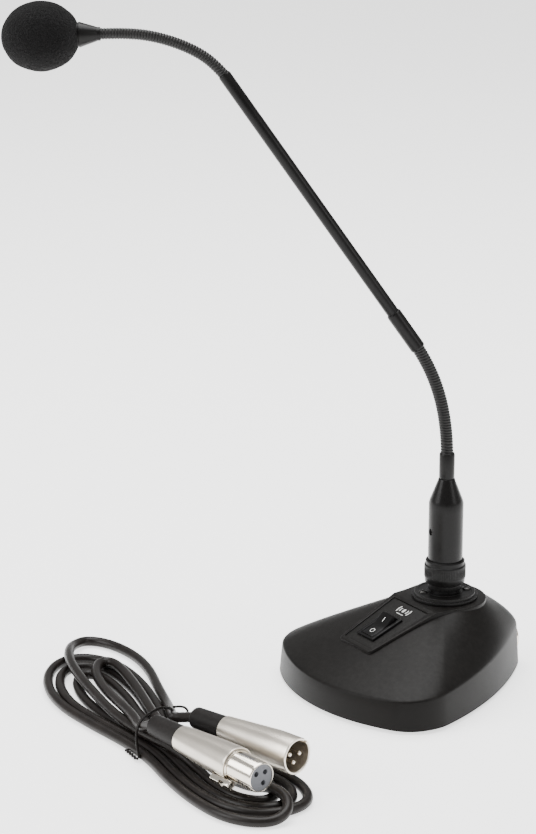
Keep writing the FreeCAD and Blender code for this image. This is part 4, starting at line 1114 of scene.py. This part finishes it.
class MIC_OT_socket(MicOperator):
    """Stepped flange of the neck's socket, with its two screws"""
    bl_idname = "mic.socket"
    bl_label = "Socket Flange"

    def build(self):
        flange = lathe([(6.9, 30), (11, 30), (11, 46.02), (18.2, 46.02), (18.2, 48), (16.6, 48), (16.6, 49.5),
                        (14.9, 49.5), (14.7, 49.2), (10.2, 49.2), (10.0, 49.5), (8.2, 49.5), (8.2, 54),
                        (7.9, 54), (7.9, 67), (6.9, 67)], 128, 0.3 * MM, closed=True)
        finished("flange_plate", flange, "collar", "base", node="socket_flange")
        screws = bmesh.new()
        for heading in (70, 250):
            spot = Matrix.Rotation(math.radians(heading), 4, "Z") @ Vector((12.3, 0, 49.2)) * MM
            copied_into(screws, screw_mesh(Matrix.Translation(spot)))
        finished("flange_screw_heads", screws, "screw", "base", node="flange_screws")


class MIC_OT_collar(MicOperator):
    """Collet and the fluted ring that turns on it"""
    bl_idname = "mic.collar"
    bl_label = "Lock Collar"

    def build(self):
        collet = lathe([(8.26, 51), (9.3, 51), (9.3, 54.2), (10.4, 55.1), (10.4, 66), (9.65, 66), (9.65,
                                                                                                   54.2),
                        (8.26, 54.2)], 96, 0.2 * MM, closed=True)
        finished("collet_sleeve", collet, "collar", "base", node="lock_collet")
        ring = lathe([(10.5, 54.8), (10.7, 54.8), (10.9, 55.1), (11.2, 57.6), (11.4, 58.2), (11.4, 58.8),
                      (11.4, 60.2), (11.4, 62), (11.4, 63.8), (11.4, 64.6), (11.2, 65), (10.75, 65.2),
                      (10.7, 65.6), (10.7, 67.3), (10.1, 68), (9.8, 68), (9.8, 66.4), (10.5, 66.4)],
                     288, 0.0, closed=True)
        for vert in ring.verts:
            round_way = Vector((vert.co.x, vert.co.y, 0))
            if round_way.length > 11.38 * MM and 58.7 * MM < vert.co.z < 64.0 * MM:
                phase = math.atan2(vert.co.y, vert.co.x) * 72
                vert.co -= round_way.normalized() * self.sizes.knurl * (0.5 + 0.5 * math.cos(phase))
        finished("fluted_ring", ring, "collar", "ring", smooth=40, node="lock_ring")


class MIC_OT_plug(MicOperator):
    """Plug at the foot of the neck: shell, set screw and ferrule"""
    bl_idname = "mic.plug"
    bl_label = "Neck Plug"

    def build(self):
        shell = lathe([(8.1, 55.8), (9.5, 55.8), (9.5, 80), (9.5, 96), (9.5, 100.3), (8.9, 102.4), (4.9,
                                                                                                    112.6),
                       (4.4, 114.1), (3.3, 114.3), (3.3, 111.8), (8.1, 99.3)], 128, 0.3 * MM, closed=True)
        way = Vector((math.cos(math.radians(261.6)), math.sin(math.radians(261.6)), 0))
        hole = rod_mesh(1.9, way * 6 + Vector((0, 0, 84.4)), way * 12 + Vector((0, 0, 84.4)), 40)
        finished("plug_sleeve", joined(shell, [("DIFFERENCE", hole)]), "metal", "mic_plug",
                         smooth=30, node="plug_shell")
        screw = rod_mesh(1.8, way * 5.6 + Vector((0, 0, 84.4)), way * 8.6 + Vector((0, 0, 84.4)), 32, 0.3)
        socket = rod_mesh(0.8, way * 7.4 + Vector((0, 0, 84.4)), way * 10 + Vector((0, 0, 84.4)), 6)
        finished("recessed_screw", joined(screw, [("DIFFERENCE", socket)]), "screw", "mic_plug",
                         smooth=30, node="plug_set_screw")
        ferrule = lathe([(2.9, 106), (3.25, 106), (3.25, 114.25), (4.25, 114.35), (4.25, 127.6), (3.95,
                                                                                                  128.4),
                         (3.4, 128.8), (2.9, 128.8)], 72, 0.12 * MM, closed=True)
        finished("ferrule_sleeve", ferrule, "metal", "mic_plug", node="neck_ferrule")


# ---------------------------------------------------------------- neck

class MIC_OT_winding(MicOperator):
    """Flexible sections: one length of ribbed winding over each joint"""
    bl_idname = "mic.winding"
    bl_label = "Flexible Sections"

    def build(self):
        lower = [pivot(name) for name in LOWER_JOINTS]
        upper = [pivot(name) for name in UPPER_JOINTS]
        tube = (upper[0] - lower[-1]).normalized()
        head = Vector(JOINTS["foam_pull"]["axis"])
        self.section("lower", LOWER_JOINTS, 3.5 * MM, lower[0] - Vector((0, 0, 4 * MM)),
                     lower[-1] + tube * 5 * MM)
        self.section("upper", UPPER_JOINTS, 3.0 * MM, upper[0] - tube * 3 * MM, upper[-1] + head * 3.5 * MM)

    def section(self, kind, names, radius, first, last):
        points = [pivot(name) for name in names]
        middles = [first] + [(a + b) / 2 for a, b in zip(points, points[1:])] + [last]
        travelled = 0.0
        for number, name in enumerate(names):
            joint = JOINTS[name]
            start, bend, end = middles[number], points[number], middles[number + 1]
            mesh = self.ribbed(start, bend, end, radius, travelled)
            piece = finished(f"{kind}_winding_{number + 1}", mesh, "winding", joint["parent"],
                             smooth=60, outward=False)
            piece.parent = None
            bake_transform(piece)
            if number < len(names) - 1:
                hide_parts(f"{kind}_link_{number + 1}")
            travelled += self.reach(start, bend, end)

    @staticmethod
    def reach(start, bend, end):
        return ((bend - start).length + (end - bend).length + (end - start).length) / 2

    def ribbed(self, start, bend, end, radius, travelled):
        """A turned tube bent along a curve through three points, with helical grooves."""
        reach = self.reach(start, bend, end)
        rings = max(8, round(reach / self.sizes.rib_pitch * 8))
        mesh = lathe([(radius / MM, reach / MM * k / rings) for k in range(rings + 1)], 30)
        crown = mesh.verts.layers.float.new("crown")
        upright = Vector((0.833886, -0.551937, 0))
        for vert in mesh.verts:
            angle, share = math.atan2(vert.co.y, vert.co.x), vert.co.z / reach
            turn = (travelled + vert.co.z) / self.sizes.rib_pitch + angle / math.tau
            high = abs(math.sin(math.pi * turn)) ** 0.7
            vert[crown] = high
            wide = radius - self.sizes.rib_depth * (1 - high)
            middle = start.lerp(bend, share).lerp(bend.lerp(end, share), share)
            way = (bend - start).lerp(end - bend, share).normalized()
            side = way.cross(upright).normalized()
            vert.co = middle + (upright * math.cos(angle) + side * math.sin(angle)) * wide
        bmesh.ops.recalc_face_normals(mesh, faces=mesh.faces)
        self.outward(mesh, start, bend, end)
        return mesh

    @staticmethod
    def outward(mesh, start, bend, end):
        """Turn the faces of an open tube away from its middle."""
        face = next(iter(mesh.faces))
        spot = face.calc_center_median()
        middle = min((start, bend, end), key=lambda point: (point - spot).length)
        if face.normal.dot(spot - middle) < 0:
            bmesh.ops.reverse_faces(mesh, faces=mesh.faces)


class MIC_OT_tube(MicOperator):
    """Rigid middle of the neck with its sleeve"""
    bl_idname = "mic.tube"
    bl_label = "Middle Tube"

    def build(self):
        foot, top = pivot(LOWER_JOINTS[-1]), pivot(UPPER_JOINTS[0])
        place = frame_along(foot, top - foot)
        sleeve = lathe([(3.55, 0.8), (3.6, 0.6), (3.7, 0.6), (4.1, 1.4), (4.1, 23.8), (3.7, 24.6), (3.43,
                                                                                                    24.6),
                        (3.43, 10), (3.55, 10)], 72, 0.15 * MM, closed=True)
        finished("sleeve_ring", sleeve, "metal", "tube", place, node="neck_sleeve")
        tube = lathe([(2.7, 10.1), (3.4, 10.1), (3.4, 60), (3.4, 120), (3.4, 180.3), (3.2, 180.9), (3.05,
                                                                                                    181.2),
                      (2.7, 181.2)], 72, 0.12 * MM, closed=True)
        finished("tube_barrel", tube, "metal", "tube", place, node="middle_tube")


class MIC_OT_head(MicOperator):
    """Head collar and barrel"""
    bl_idname = "mic.head"
    bl_label = "Head"

    def build(self):
        place = frame_along(pivot(UPPER_JOINTS[-1]), JOINTS["foam_pull"]["axis"])
        head = lathe([(3.05, 0.6), (3.4, 0.6), (3.6, 0.9), (3.6, 2.4), (3.9, 2.9), (6.4, 10.6), (6.65, 11.3),
                      (6.65, 11.7), (6.4, 12), (6.4, 35.6), (6.1, 36), (5.6, 36), (5.6, 16), (3.05, 16)],
                     96, 0.15 * MM, closed=True)
        finished("head_barrel", head, "metal", "head", place, node="head_housing")


class MIC_OT_foam(MicOperator):
    """Foam ball with open pores and a bore for the head"""
    bl_idname = "mic.foam"
    bl_label = "Windscreen"

    def build(self):
        place = frame_along(pivot(UPPER_JOINTS[-1]), JOINTS["foam_pull"]["axis"])
        centre, long, wide, bore = 31.7, 20.55, 18.3, 6.7
        mouth = math.asin(bore / wide)
        count = 120
        outer = [(wide * math.sin(a), centre - long * math.cos(a))
                 for a in (mouth + (math.pi - mouth) * k / count for k in range(count + 1))]
        outline = [(0, 38), (3, 38), (bore, 38), (bore, 30), (bore, 22)] + outer
        mesh = lathe([(max(0, radius), height) for radius, height in outline], 220)
        mesh.normal_update()
        pore = self.sizes.pore
        for vert in mesh.verts:
            spot = vert.co / MM
            if math.hypot(spot.x, spot.y) < bore + 0.02:
                continue
            near = noise.voronoi(spot / 1.25)[0][0]
            fine = noise.voronoi(spot / 0.6)[0][0]
            swell = noise.noise(spot / 7) * 0.25 * MM
            vert.co += vert.normal * (swell - pore * max(0.0, 0.62 - near) - pore * 0.4 * max(0.0,
                                                                                              0.5 - fine))
        piece = finished("foam_ball", mesh, "foam", "foam", place, smooth=180, node="windscreen")


class MIC_OT_output(MicOperator):
    """Tube and contacts of the output connector in the back of the base"""
    bl_idname = "mic.output"
    bl_label = "Output Connector"

    def build(self):
        place = Matrix.Translation(Vector((0, 0, OUTPUT_HEIGHT)) * MM) @ Matrix.Rotation(-math.pi / 2, 4, "X")
        tube = lathe([(8.1, 30), (9.85, 30), (9.85, 45.2), (9.4, 45.7), (8.5, 45.7), (8.1, 45.3)], 96,
                     0.12 * MM,
                     closed=True)
        finished("output_barrel", tube, "bright", "base", place, node="output_housing")
        finished("output_contacts", contacts(0, 26, 47), "bright", "base", place,
                 node="output_pins")


class MIC_OT_carried(MicOperator):
    """Finishes of the parts that keep their own shape"""
    bl_idname = "mic.carried"
    bl_label = "Carried Parts"

    BY_SLOT = {
        "cover_plastic": "cover", "panel_plastic": "panel", "switch_plastic": "switch",
        "black_metal": "metal",
        "flex_metal": "winding", "plain_steel": "steel", "ballast_iron": "iron", "pad_rubber": "pad",
        "board_laminate": "board", "board_component": "component", "brass": "brass",
        "insulator": "black_insulator", "grey_insulator": "insulator", "nickel": "bright", "foam": "foam",
        "cable_jacket": "jacket"}

    def build(self):
        slots = {entry["node"]: entry["material_slot"] for entry in frame["record"]["subparts"]}
        for name, node in NODES.items():
            finish = FINISHES[self.BY_SLOT[slots[name]]]
            if not node.material_slots:
                node.data.materials.append(finish)
            for place in node.material_slots:
                place.material = finish


OPERATORS = (MIC_OT_stage, MIC_OT_cable, MIC_OT_base, MIC_OT_panel, MIC_OT_switch, MIC_OT_socket,
             MIC_OT_collar,
             MIC_OT_plug, MIC_OT_winding, MIC_OT_tube, MIC_OT_head, MIC_OT_foam, MIC_OT_output,
             MIC_OT_carried)


class MIC_PT_sidebar(Panel):
    """Lists the microphone's pieces in the order they are made"""
    bl_idname = "MIC_PT_sidebar"
    bl_label = "Desk Microphone"
    bl_space_type = "VIEW_3D"
    bl_region_type = "UI"
    bl_category = "Desk Microphone"

    def draw(self, context):
        for operator in OPERATORS:
            self.layout.operator(operator.bl_idname)
        for group in (context.scene.mic_sizes, context.scene.mic_colours):
            box = self.layout.box()
            for name in group.__annotations__:
                box.prop(group, name)


CLASSES = (MicSizes, MicColours, *OPERATORS, MIC_PT_sidebar)


def register():
    for item in CLASSES:
        bpy.utils.register_class(item)
    bpy.types.Scene.mic_sizes = PointerProperty(type=MicSizes)
    bpy.types.Scene.mic_colours = PointerProperty(type=MicColours)


def unregister():
    del bpy.types.Scene.mic_colours
    del bpy.types.Scene.mic_sizes
    for item in reversed(CLASSES):
        bpy.utils.unregister_class(item)


def main():
    register()
    FINISHES.update(build_finishes(bpy.context.scene.mic_colours))
    for operator in OPERATORS:
        group, name = operator.bl_idname.split(".")
        getattr(getattr(bpy.ops, group), name)()


if __name__ == "__main__":
    main()
